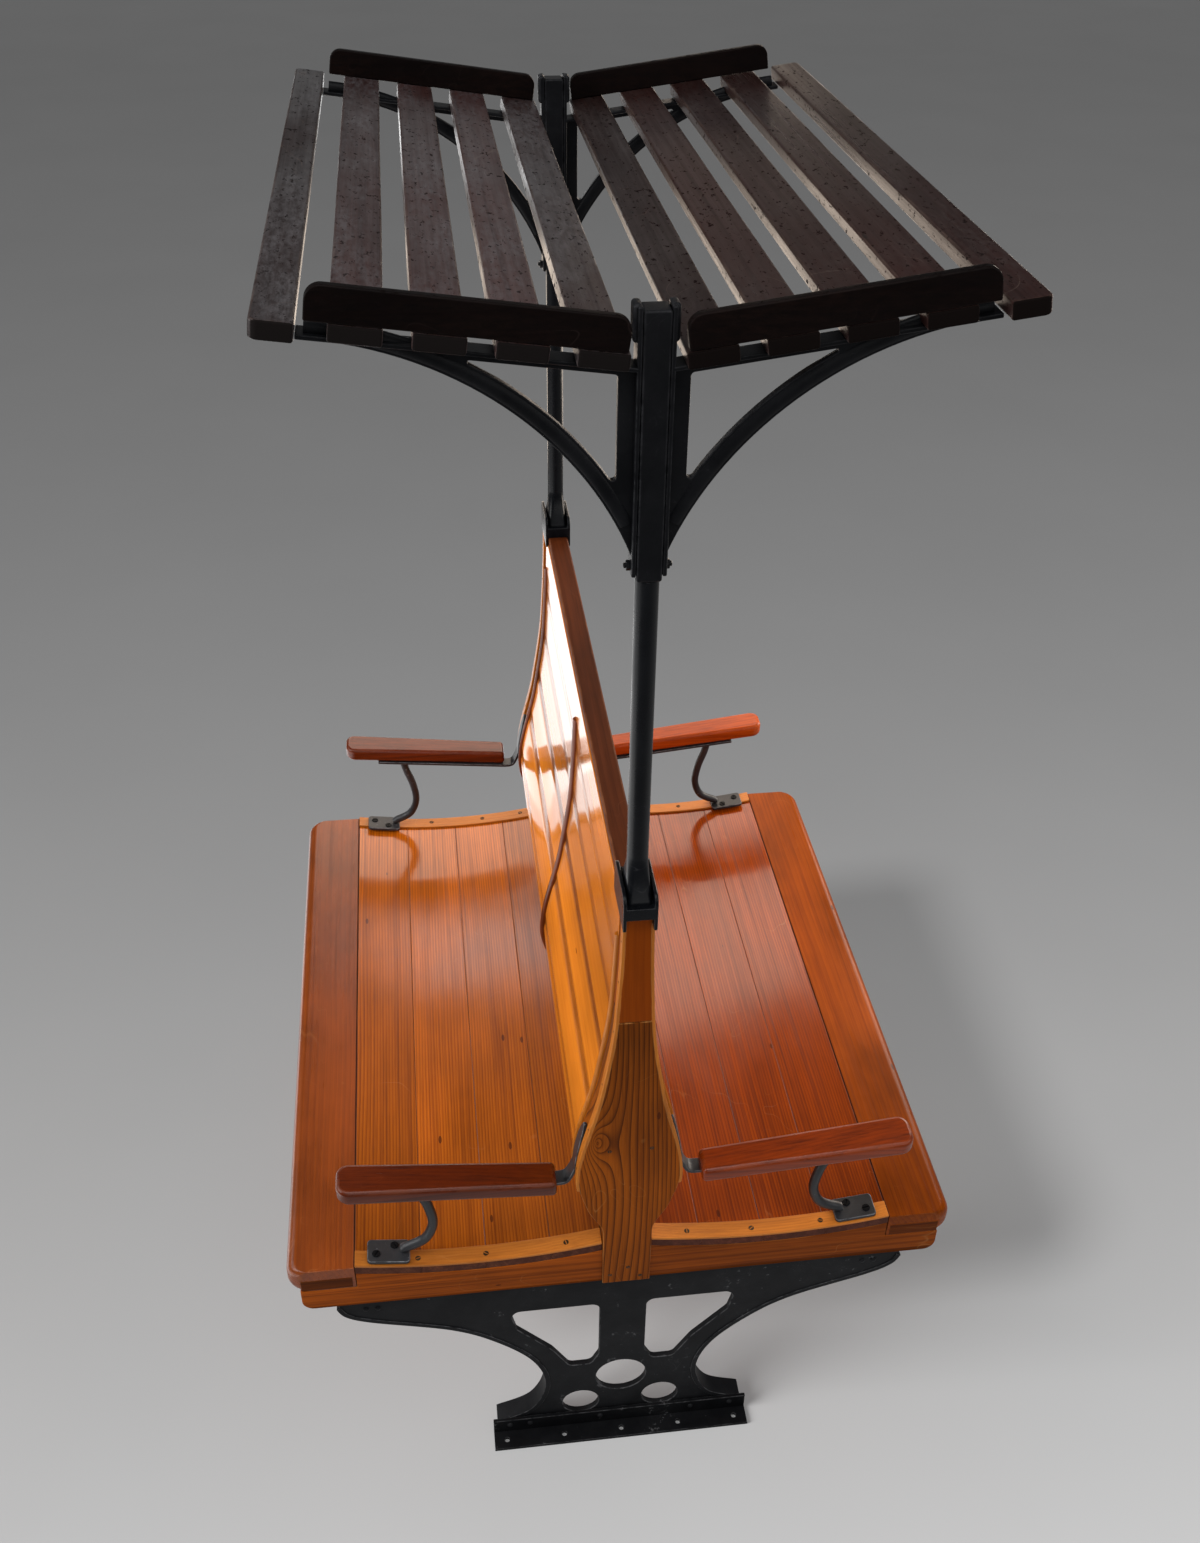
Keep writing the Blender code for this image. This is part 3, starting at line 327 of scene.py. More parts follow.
def spinProfile(profile, steps):
    bm = newMesh()
    line = [bm.verts.new((radius, 0, height)) for radius, height in profile]
    edges = [bm.edges.new(pair) for pair in zip(line, line[1:])]
    bmesh.ops.spin(bm, geom=line + edges, cent=(0, 0, 0), axis=(0, 0, 1), angle=2 * math.pi, steps=steps,
                   use_merge=True)
    bmesh.ops.remove_doubles(bm, verts=bm.verts, dist=1e-6)
    bmesh.ops.recalc_face_normals(bm, faces=bm.faces)
    return bm


def absorb(bm, *others):
    for other in others:
        shell = bpy.data.meshes.new("shell")
        other.to_mesh(shell)
        other.free()
        bm.from_mesh(shell)
        bpy.data.meshes.remove(shell)
    return bm


def castPlate(loops, lowY, highY, edge):
    # a filled outline with holes: the first loop runs anticlockwise, the holes clockwise
    curve = bpy.data.curves.new("casting", "CURVE")
    curve.dimensions, curve.fill_mode = "2D", "BOTH"
    curve.bevel_depth, curve.bevel_resolution = edge, 2
    curve.extrude, curve.offset = (highY - lowY) / 2 - edge, -edge
    for loop in loops:
        spline = curve.splines.new("POLY")
        spline.points.add(len(loop) - 1)
        for point, (x, z) in zip(spline.points, loop):
            point.co = (x, z, 0, 1)
        spline.use_cyclic_u = True
    holder = bpy.data.objects.new("casting", curve)
    scene.collection.objects.link(holder)
    bpy.context.view_layer.update()
    mesh = bpy.data.meshes.new_from_object(holder.evaluated_get(bpy.context.evaluated_depsgraph_get()))
    bpy.data.objects.remove(holder)
    bm = newMesh()
    bm.from_mesh(mesh)
    bmesh.ops.remove_doubles(bm, verts=bm.verts, dist=1e-6)
    place = shift(0, (lowY + highY) / 2, 0) @ Matrix.Rotation(math.pi / 2, 4, "X")
    bmesh.ops.transform(bm, matrix=place, verts=bm.verts)
    wear = bm.verts.layers.float["wear"]
    for vert in bm.verts:
        depth = min(abs(vert.co.y - lowY), abs(vert.co.y - highY))
        vert[wear] = 1.0 if 0.1 * edge < depth < 0.9 * edge else 0.0
    return bm


def waver(bm, amount, seed):
    for vert in bm.verts:
        along = Vector((seed, vert.co.y * 3.1, seed * 0.37))
        vert.co.x += amount * noise.noise(along)
        vert.co.z += amount * noise.noise(along + Vector((5.2, 0, 3.3)))


def cutLengthwise(bm, cuts):
    long = [edge for edge in bm.edges if abs(edge.verts[0].co.y - edge.verts[1].co.y) > 0.3]
    bmesh.ops.subdivide_edges(bm, edges=long, cuts=cuts)


sharpAngle = math.radians(38)


def finishPiece(name, bm, finish, replaced=(), side=1, end=1, tone=0.0):
    if side < 0 or end < 0:
        bmesh.ops.scale(bm, vec=(side, end, 1), verts=bm.verts)
    bmesh.ops.recalc_face_normals(bm, faces=bm.faces)
    mesh = bpy.data.meshes.new(name)
    bm.to_mesh(mesh)
    bm.free()
    mesh.materials.append(finish)
    mesh.shade_smooth()
    mesh.set_sharp_from_angle(angle=sharpAngle)
    tones = [tone(vert.co) if callable(tone) else tone for vert in mesh.vertices]
    mesh.attributes.new("tone", "FLOAT", "POINT").data.foreach_set("value", tones)
    piece = bpy.data.objects.new(name, mesh)
    scene.collection.objects.link(piece)
    even = piece.modifiers.new("evenNormals", "WEIGHTED_NORMAL")
    even.keep_sharp = True
    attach(piece, "root")
    if replaced:
        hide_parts(*replaced)


def alongBench(near, far):
    return lambda place: near + (far - near) * (place.y + 0.54) / 1.08


# Outline tools


def stepsBetween(first, last, count):
    return [first + (last - first) * i / count for i in range(count + 1)]


def mirrored(outline):
    return [(-x, z) for x, z in outline[::-1]]


def arc(centre, radius, angles):
    return [(centre[0] + radius * math.cos(a), centre[1] + radius * math.sin(a)) for a in angles]


def circle(centre, radius, count):
    return arc(centre, radius, [-2 * math.pi * i / count for i in range(count)])  # clockwise, as a hole


def smoothLine(points, count):
    padded = [points[0], *points, points[-1]]
    line = []
    for p, q, r, s in zip(padded, padded[1:], padded[2:], padded[3:]):
        for t in stepsBetween(0, 1, count)[:-1]:
            line.append(tuple(
                b + ((c - a) * t + (2 * a - 5 * b + 4 * c - d) * t**2 + (3 * b - a - 3 * c + d) * t**3) / 2
                for a, b, c, d in zip(p, q, r, s)))
    return [*line, points[-1]]


def offsetLine(path, distance):
    moved = []
    for i, (x, z) in enumerate(path):
        before, after = neighbours(path, i)
        run, rise = after[0] - before[0], after[1] - before[1]
        length = math.hypot(run, rise)
        moved.append((x - distance * rise / length, z + distance * run / length))
    return moved


def roundCorners(points, count=6):
    line = []
    for i, (x, z, radius) in enumerate(points):
        if not radius:
            line.append((x, z))
            continue
        here = Vector((x, z))
        back = (Vector(points[i - 1][:2]) - here).normalized()
        ahead = (Vector(points[(i + 1) % len(points)][:2]) - here).normalized()
        half = back.angle(ahead) / 2
        centre = here + (back + ahead).normalized() * radius / math.sin(half)
        start = here + back * radius / math.tan(half) - centre
        stop = here + ahead * radius / math.tan(half) - centre
        first = math.atan2(start.y, start.x)
        sweep = (math.atan2(stop.y, stop.x) - first + math.pi) % (2 * math.pi) - math.pi
        line += arc(centre, radius, stepsBetween(first, first + sweep, count))
    return line


# Finishes

seatLook = dict(
    grain="Y", sway=0.010, streaks=190, run=0.008, rings=200, swirl=5.0, ringAmount=0.80, ringPower=1.7, knots=(),
    streakAmount=0.70, fibreAmount=0.45, blotch=0.28, spotFree=0.80, scratch=0.30, wearAmount=0.25,
    roughness=0.10, glossVary=0.7, specular=0.5, dulling=0.8, uneven=0.08, bump=0.12,
    light=(0.56, 0.142, 0.006), dark=(0.23, 0.038, 0.002), line=(0.13, 0.018, 0.001),
    dirtAndShade=(0.060, 0.011, 0.002), wear=(0.50, 0.20, 0.06),
)
# a darker copy of the seat finish for the right seat: painted shade where the back keeps the left lamps off it
shadedRightSeatLook = dict(
    seatLook, light=(0.355, 0.060, 0.001), dark=(0.150, 0.017, 0.001), line=(0.070, 0.007, 0.001),
)
nosingLook = dict(
    seatLook, streaks=120, rings=120, swirl=8.0, ringAmount=0.45, ringPower=2.2, streakAmount=0.50, roughness=0.24,
    blotch=0.50, specular=0.36, light=(0.235, 0.048, 0.004), dark=(0.145, 0.024, 0.002), line=(0.085, 0.013, 0.001),
    dirtAndShade=(0.035, 0.008, 0.002), wear=(0.38, 0.14, 0.04),
)
rightNosingLook = dict(
    nosingLook, specular=0.08, light=(0.235, 0.046, 0.001), dark=(0.140, 0.021, 0.001), line=(0.075, 0.009, 0.001),
)
railLook = dict(
    nosingLook, grain="X", roughness=0.36, specular=0.05, scratch=0.5, blotch=0.36, streakAmount=0.85,
    light=(0.41, 0.088, 0.006), dark=(0.23, 0.040, 0.003), line=(0.050, 0.008, 0.001), wear=(0.40, 0.17, 0.05),
)
battenLook = dict(
    seatLook, grain="X", roughness=0.30, specular=0.25, streakAmount=0.45, ringAmount=0.40,
    light=(0.54, 0.180, 0.024), dark=(0.36, 0.095, 0.010), line=(0.22, 0.050, 0.006),
    dirtAndShade=(0.06, 0.018, 0.005), wear=(0.60, 0.28, 0.09),
)
liningLook = dict(
    seatLook, streaks=150, rings=95, ringAmount=0.32, streakAmount=0.30, fibreAmount=0.18, roughness=0.11,
    glossVary=0.25, dulling=0.12, uneven=0.035, bump=0.04, spotFree=0.88, scratch=0.2,
    light=(0.66, 0.205, 0.018), dark=(0.51, 0.132, 0.008), line=(0.36, 0.072, 0.003), dirtAndShade=(0.085, 0.015, 0.002),
)
oakLook = dict(
    seatLook, grain="Z", sway=0.020, streaks=150, run=0.022, rings=135, swirl=8.0, ringAmount=0.95, ringPower=3.6,
    streakAmount=0.55, fibreAmount=0.5, roughness=0.34, specular=0.05, bump=0.28, blotch=0.22, wearAmount=0.6,
    light=(0.295, 0.070, 0.004), dark=(0.022, 0.004, 0.001), line=(0.085, 0.016, 0.002), wear=(0.58, 0.27, 0.08),
    knots=(((-0.048, -0.72, -0.545), 0.020, 7.0),),
)
postTopLook = dict(
    oakLook, streaks=130, rings=90, ringAmount=0.35, ringPower=2.0, streakAmount=0.40, fibreAmount=0.3, bump=0.14,
    light=(0.250, 0.046, 0.001), dark=(0.180, 0.029, 0.001), line=(0.115, 0.017, 0.001), knots=(),
)
mouldingLook = dict(
    nosingLook, grain="Z", roughness=0.22, specular=0.35,
    light=(0.20, 0.040, 0.006), dark=(0.12, 0.020, 0.003), line=(0.07, 0.010, 0.002),
)
endMouldingLook = dict(
    battenLook, grain="Z", specular=0.2,
    light=(0.52, 0.165, 0.014), dark=(0.36, 0.092, 0.007), line=(0.20, 0.045, 0.004),
)
capLook = dict(
    nosingLook, roughness=0.5, specular=0.05, wearAmount=0.6, wear=(0.26, 0.100, 0.045),
    light=(0.095, 0.022, 0.006), dark=(0.056, 0.012, 0.004), line=(0.028, 0.006, 0.002),
)
padLook = dict(
    nosingLook, grain="X", roughness=0.18, specular=0.32, streakAmount=0.65, bump=0.10, blotch=0.22,
    light=(0.135, 0.019, 0.002), dark=(0.062, 0.008, 0.001), line=(0.020, 0.003, 0.001), wear=(0.22, 0.055, 0.014),
)
# a much lighter copy of the pad finish for the far right pad: painted light, as if lit from behind
paintedLightPadLook = dict(
    padLook, specular=0.2, light=(0.52, 0.078, 0.004), dark=(0.33, 0.040, 0.002), line=(0.18, 0.018, 0.001),
)
# the grey film colour on the slats is partly a real film and partly a painted sheen
slatLook = dict(
    nosingLook, streaks=130, rings=80, roughness=0.30, specular=0.20, pits=0.8, wearAmount=0.3, scratch=0.55,
    blotch=0.32, uneven=0.06, bump=0.22, spotFree=0.45, glossVary=1.4, greyFilmAndSheenAmount=0.6,
    light=(0.022, 0.0078, 0.0066), dark=(0.013, 0.0048, 0.0044), line=(0.0045, 0.0025, 0.0025),
    dirtAndShade=(0.0040, 0.0024, 0.0021), wear=(0.10, 0.070, 0.056), greyFilmAndSheen=(0.100, 0.092, 0.096),
)
# a darker copy of the slat finish for the right-hand slats: painted shade, as they tilt towards the lamps on the left
# and catch more light
shadedRightSlatLook = dict(slatLook, greyFilmAndSheen=(0.040, 0.030, 0.028), specular=0.07)
fenceLook = dict(
    slatLook, grain="X", roughness=0.36, specular=0.05, bump=0.12, greyFilmAndSheen=(0.009, 0.004, 0.003),
    light=(0.0026, 0.0014, 0.0013), dark=(0.0015, 0.0009, 0.0009), line=(0.0009, 0.0006, 0.0006),
    wear=(0.016, 0.010, 0.009),
)
ironLook = dict(
    paint=(0.0032, 0.0034, 0.0042), faded=(0.0065, 0.0068, 0.0080), bare=(0.055, 0.055, 0.060),
    chip=0.92, wearAmount=0.25, roughness=0.36, metal=0.0, specular=0.08, bump=0.22,
)
pedestalLook = dict(
    ironLook, wearAmount=0.75, chip=0.85, specular=0.05,
    paint=(0.0105, 0.0108, 0.0120), faded=(0.0200, 0.0204, 0.0220), bare=(0.13, 0.13, 0.135),
)
angleLook = dict(pedestalLook, paint=(0.0050, 0.0051, 0.0058), faded=(0.0100, 0.0102, 0.0112), wearAmount=0.4)
armLook = dict(
    ironLook, wearAmount=0.9, chip=0.86, specular=0.4,
    paint=(0.012, 0.0126, 0.0146), faded=(0.030, 0.031, 0.035), bare=(0.19, 0.195, 0.21),
)
pipeLook = dict(
    ironLook, roughness=0.22, specular=0.15, bump=0.12, paint=(0.0018, 0.0021, 0.0030), faded=(0.0034, 0.0040, 0.0054),
)
screwLook = dict(
    ironLook, roughness=0.38, metal=0.6, bump=0.15,
    paint=(0.035, 0.024, 0.014), faded=(0.065, 0.045, 0.028), bare=(0.22, 0.18, 0.12),
)
seatWood = {"left": woodFinish("seatWoodLeft", seatLook), "right": woodFinish("seatWoodRightShaded", shadedRightSeatLook)}
nosingWood = {"left": woodFinish("nosingWoodLeft", nosingLook), "right": woodFinish("nosingWoodRight", rightNosingLook)}
slatWood = {"left": woodFinish("slatWoodLeft", slatLook), "right": woodFinish("slatWoodRightShaded", shadedRightSlatLook)}
padWood = {"": woodFinish("padWood", padLook), "far_right": woodFinish("padWoodPaintedLight", paintedLightPadLook)}
railWood = woodFinish("railWood", railLook)
battenWood = woodFinish("battenWood", battenLook)
liningWood = woodFinish("liningWood", liningLook)
oakWood = woodFinish("oakWood", oakLook)
postTopWood = woodFinish("postTopWood", postTopLook)
mouldingWood = woodFinish("mouldingWood", mouldingLook)
endMouldingWood = woodFinish("endMouldingWood", endMouldingLook)
capWood = woodFinish("capWood", capLook)
fenceWood = woodFinish("fenceWood", fenceLook)
blackIron = ironFinish("blackIron", ironLook)
pedestalIron = ironFinish("pedestalIron", pedestalLook)
angleIron = ironFinish("angleIron", angleLook)
armMetal = ironFinish("armMetal", armLook)
pipeIron = ironFinish("pipeIron", pipeLook)
screwIron = ironFinish("screwIron", screwLook)
print("finishes made")

# Seat

seat = dict(
    top=0.485, dip=0.0165, dipMiddle=0.22005, dipHalf=0.18295, end=0.5397, thick=0.014, ease=0.0005, gap=0.00012,
    joints=(0.403, 0.3065, 0.210, 0.1135, 0.0371), postInner=0.4997,
    tones={  # each board at the near and the far end, from the nosing inwards: the board's own tone, plus painted light that brightens every board towards the far end
        "left": ((-1.0, 0.3), (-0.40, 0.5), (-0.60, 0.40), (-0.75, -0.15)),
        "right": ((-0.05, 0.3), (0.05, 0.4), (-0.12, 0.3), (0.0, 0.35)),
    },
)


def seatTop(x):
    reach = (abs(x) - seat["dipMiddle"]) / seat["dipHalf"]
    return seat["top"] - seat["dip"] * max(0.0, 1 - reach * reach)


def boardBar(low, high):
    ease = seat["ease"]
    rows = [(low, ease), (low + 0.35 * ease, 0.35 * ease), (low + ease, 0)]
    rows += [(x, 0) for x in stepsBetween(low + 2.4 * ease, high - 2.4 * ease, 14)]
    rows += [(high - ease, 0), (high - 0.35 * ease, 0.35 * ease), (high, ease)]
    outline = [(x, seatTop(x) - drop) for x, drop in rows]
    outline += [(x, seatTop(x) - seat["thick"]) for x in stepsBetween(high, low, 8)]
    bm = barFromOutline(outline, -seat["end"], seat["end"])

    def inJoint(place):
        if min(place.x - low, high - place.x) < 1.2 * ease and place.z > seatTop(place.x) - 2 * ease:
            return 0.9 if place.x > seat["joints"][0] - 0.01 else 0.45
        return 0.0

    soilAndShade(bm, inJoint)
    easeEdges(bm, 0.0007, 2, 70, lambda middle, run: abs(middle.y) > seat["end"] - 1e-4)
    soilAndShade(bm, lambda place: 1.0 if abs(place.y) > seat["end"] - 0.0003 else 0.0)  # dull end grain
    return bm


for sideName, side in sides.items():
    for number, (outer, inner) in enumerate(zip(seat["joints"], seat["joints"][1:]), 1):
        bm = boardBar(inner + seat["gap"], outer - seat["gap"])
        if number == 4:  # the part under the back, between the posts
            low = (0.0003, -seat["postInner"], seat["top"] - seat["thick"])
            absorb(bm, boxMesh(low, (inner + 0.002, seat["postInner"], seat["top"] - 0.0002)))
        finishPiece(f"seatBoard_{sideName}_{number}", bm, seatWood[sideName],
                    [f"seat_board_{sideName}_{number}"], side, tone=alongBench(*seat["tones"][sideName][number - 1]))

nosing = dict(
    inner=0.4034, outer=0.504, thick=0.045, corner=0.024, nose=0.0165, end=0.540,
    rows=(0.005, 0.008, 0.012, 0.017, 0.024), tones={"left": (-0.2, 0.1), "right": (1.0, 0.0)},
)
for sideName, side in sides.items():
    top, bottom, inner, outer = seat["top"], seat["top"] - nosing["thick"], nosing["inner"], nosing["outer"]
    nose = [(inner, bottom, 0), (outer, bottom, nosing["nose"]), (outer, top, nosing["nose"]), (inner + 0.0022, top, 0)]
    outline = roundCorners(nose, 9)
    outline += [(inner + 0.0008, top), (inner + 0.0003, top - 0.0003), (inner, top - 0.0008)]
    bm = barFromOutline(outline, -nosing["end"], nosing["end"])
    easeEdges(bm, 0.0022, 3, 60, lambda middle, run: abs(middle.y) > nosing["end"] - 1e-4)
    cutLengthwise(bm, 24)
    for row in nosing["rows"]:
        for place in (row - nosing["end"], nosing["end"] - row):
            cutAt(bm, (0, place, 0), (0, 1, 0))
    soilAndShade(bm, lambda place: 1.0 if place.x < inner + 0.0009 and place.z > top - 0.001 else 0.0)
    for vert in bm.verts:  # the rounded corners in plan
        over = max(0.0, abs(vert.co.y) - nosing["end"] + nosing["corner"])
        reach = outer - nosing["corner"] + math.sqrt(max(0.0, nosing["corner"] ** 2 - over**2))
        vert.co.x = inner + (vert.co.x - inner) * (reach - inner) / (outer - inner)
    finishPiece(f"seatNosing_{sideName}", bm, nosingWood[sideName], [f"seat_nosing_{sideName}"], side,
                tone=alongBench(*nosing["tones"][sideName]))

# end grain of the lap under each end of a nosing
lap = dict(low=(0.4080, 0.538, 0.4420), high=(0.4836, 0.5405, 0.4640))
for cornerName, side, end in corners:
    bm = boxMesh(lap["low"], lap["high"])
    easeEdges(bm, 0.0005, 2)
    finishPiece(f"nosingLap_{cornerName}", bm, railWood, (), side, end, tone=-1.4)

batten = dict(inner=0.0374, outer=0.4027, thick=0.004, low=0.512, high=0.540)
for cornerName, side, end in corners:
    xs = stepsBetween(batten["inner"], batten["outer"], 24)
    outline = [(x, seatTop(x) + batten["thick"] + 0.0003) for x in xs] + [(x, seatTop(x) + 0.0002) for x in xs[::-1]]
    bm = barFromOutline(outline, batten["low"], batten["high"])
    easeEdges(bm, 0.0010, 2, 60)
    finishPiece(f"seatBatten_{cornerName}", bm, battenWood, [f"seat_batten_{cornerName}"], side, end,
                tone=0.4 if side > 0 else 0.0)

rail = dict(
    half=0.486, bottom=0.396, step=0.4027, underNosing=0.4397, corner=0.018, low=0.514, high=0.540, drop=0.0143,
    postHalf=0.0371,
)
for endName, end in ends.items():
    half = [(x, seatTop(x) - rail["drop"]) for x in stepsBetween(rail["postHalf"], rail["step"], 20)]
    half.append((rail["step"], rail["underNosing"]))
    tail = [(rail["half"], rail["underNosing"], 0), (rail["half"], rail["bottom"], rail["corner"])]
    half += roundCorners([*tail, (0, rail["bottom"], 0)], 6)[:-1]
    bm = barFromOutline(half + mirrored(half), rail["low"], rail["high"])
    easeEdges(bm, 0.0016, 3, 50)
    for height in (0.004, 0.016):
        cutAt(bm, (0, 0, rail["bottom"] + height), (0, 0, 1))
    soilAndShade(bm, lambda place: 0.55 if place.z < rail["bottom"] + 0.005 else 0.0)
    finishPiece(f"endRail_{endName}", bm, railWood, [f"end_rail_{endName}"], 1, end,
                tone=lambda place: 0.15 if place.x < 0 else -0.8)
print("seat made")

# Back

back = dict(
    stations=((0.515, 0.0365), (0.573, 0.060), (0.635, 0.0735), (0.810, 0.041), (0.952, 0.0228), (1.120, 0.017)),
    inner=0.500, outer=0.545, tenon=0.0187, foot=0.396, lowSeat=0.471, scarf=0.952, top=1.138, ease=0.0016,
)


def backHalf(z):
    stations = back["stations"]
    if z <= stations[0][0]:
        return stations[0][1]
    rises = [(b[1] - a[1]) / (b[0] - a[0]) for a, b in zip(stations, stations[1:])]
    slopes = [0.0, *[2 * a * b / (a + b) if a * b > 0 else 0.0 for a, b in zip(rises, rises[1:])], 0.0]
    for i, ((z0, w0), (z1, w1)) in enumerate(zip(stations, stations[1:])):
        if z < z1:
            t, span = (z - z0) / (z1 - z0), z1 - z0
            bend = slopes[i] * span * (t - 2 * t**2 + t**3) + slopes[i + 1] * span * (t**3 - t**2)
            return w0 * (1 - 3 * t**2 + 2 * t**3) + w1 * (3 * t**2 - 2 * t**3) + bend
    return stations[-1][1]


def backLine(low, high, count):
    return [(backHalf(z), z) for z in stepsBetween(low, high, count)]


def postTone(place):  # darkest under the scarf
    return max(-0.8, min(1.4 * (place.z - 0.4), 0.4 - 5.0 * (place.z - 0.68)))


for endName, end in ends.items():
    half = [(backHalf(z), z) for z in (back["foot"], back["lowSeat"], 0.500)]
    half += backLine(0.515, back["scarf"] - 0.0002, 70)
    bm = newMesh()
    face = bm.faces.new([bm.verts.new((x, back["outer"], z)) for x, z in half + mirrored(half)])
    tenonFace = grow(bm, [face], shift(0, -back["tenon"], 0))
    cutAt(bm, (0, 0, back["lowSeat"]), (0, 0, 1), tenonFace)
    level = [(made, made.calc_center_median()) for made in bm.faces if made.normal.y**2 > 0.9]
    tall = [made for made, middle in level if middle.y < back["outer"] - 0.001 and middle.z > back["lowSeat"]]
    grow(bm, tall, shift(0, back["inner"] - back["outer"] + back["tenon"], 0), inside=True)
    bmesh.ops.recalc_face_normals(bm, faces=bm.faces)
    easeEdges(bm, back["ease"], 3, 50)
    finishPiece(f"backPost_{endName}", bm, oakWood, [f"back_post_{endName}"], 1, end, tone=postTone)
    half = backLine(back["scarf"] + 0.0005, back["top"], 20)
    bm = barFromOutline(half + mirrored(half), back["inner"], back["outer"])
    easeEdges(bm, back["ease"], 3, 50)
    finishPiece(f"backPostTop_{endName}", bm, postTopWood, [f"back_post_top_{endName}"], 1, end)

lining = dict(
    low=0.4853, high=1.1237, thick=0.009, first=0.570, board=0.089, lip=0.0165, depth=0.0015, reach=0.4997,
    filledFrom=0.87, filledShare=0.4, darkest=0.82, darkReach=0.2,
)
grooves = [lining["first"] + lining["board"] * i for i in range(6)]


def grooveShare(z):
    away = min(abs(z - middle) for middle in grooves)
    return min(1.0, 1.35 * math.cos(math.pi / 2 * away / lining["lip"]) ** 2) if away < lining["lip"] else 0.0


def grooveDepth(z):  # filled with varnish higher up
    return lining["depth"] * (1.0 if z < lining["filledFrom"] else lining["filledShare"]) * grooveShare(z)


# dark stain in the lining's grooves together with painted groove shade, darkest at one height
def grooveDirtAndShade(place):
    near = max(0.0, 1.0 - abs(place.z - lining["darkest"]) / lining["darkReach"])
    return (0.35 + 0.6 * near) * grooveShare(place.z)


# painted light and shade by height: lightest around 0.75 m, darker towards the top and the bottom of the lining
def liningLightAndShadeByHeight(place):
    return max(-0.4, min(5.4 * (0.848 - place.z), 0.5, 0.5 + 3.0 * (place.z - 0.74)))


for sideName, side in sides.items():
    heights = {round(z, 5) for z in stepsBetween(lining["low"], lining["high"], 110)}
    heights |= {round(z + lining["lip"] * share, 5) for z in grooves for share in stepsBetween(-1, 1, 8)}
    path = [(backHalf(z), z) for z in sorted(heights)]
    outline = [(x - grooveDepth(z), z) for x, z in path] + offsetLine(path, lining["thick"])[::-1]
    bm = barFromOutline(outline, -lining["reach"], lining["reach"])
    soilAndShade(bm, grooveDirtAndShade)
    finishPiece(f"backLining_{sideName}", bm, liningWood, [f"back_lining_{sideName}"], side,
                tone=liningLightAndShadeByHeight)

# plain band along the top of each lining
band = dict(low=1.066, high=1.1236, proud=0.0014, sunk=0.002)
for sideName, side in sides.items():
    path = backLine(band["low"], band["high"], 12)
    outline = [(x + band["proud"], z) for x, z in path] + [(x - band["sunk"], z) for x, z in path[::-1]]
    bm = barFromOutline(outline, -lining["reach"], lining["reach"])
    easeEdges(bm, 0.0008, 2, 60)
    finishPiece(f"backBand_{sideName}", bm, liningWood, (), side, tone=0.06)

# half-round strips over the lining, at its middle and its ends, and the strips along the posts
strip = dict(half=0.0066, thick=0.0064, low=0.592, high=1.0665)
bead = dict(half=0.0050, thick=0.0052, low=0.600, high=1.0650, y=0.4944)
endStrip = dict(low=0.618, high=1.116, y=(0.5290, 0.5446), thick=0.0036)


def halfRound(size, y):
    profile = [(-0.003, y - size["half"]), (-0.003, y + size["half"])]
    profile += [(size["thick"] * math.sin(a), y + size["half"] * math.cos(a)) for a in stepsBetween(0, math.pi, 12)]
    return sweepPath(profile, backLine(size["low"], size["high"], 60))


for sideName, side in sides.items():
    finishPiece(f"backStrip_{sideName}", halfRound(strip, 0.0), mouldingWood, (), side)
for cornerName, side, end in corners:
    # the far beads take the dark finish as painted shade and the near beads the light finish as painted light
    wood = mouldingWood if end > 0 else endMouldingWood
    finishPiece(f"endBead_{cornerName}", halfRound(bead, bead["y"]), wood, (), side, end)
    low, high = endStrip["y"]
    profile = [(-0.002, low), (-0.002, high), (endStrip["thick"], high), (endStrip["thick"], low)]
    bm = sweepPath(profile, backLine(endStrip["low"], endStrip["high"], 60))
    easeEdges(bm, 0.0013, 3, 50)
    finishPiece(f"postStrip_{cornerName}", bm, endMouldingWood, (), side, end)

cap = dict(half=0.017, reach=0.4997, low=1.124, high=1.138)
bm = boxMesh((-cap["half"], -cap["reach"], cap["low"]), (cap["half"], cap["reach"], cap["high"]))
easeEdges(bm, 0.0034, 4)
cutLengthwise(bm, 20)
waver(bm, 0.0004, 2.0)
finishPiece("capRail", bm, capWood, ["cap_rail"])
print("back made")

# Pedestals

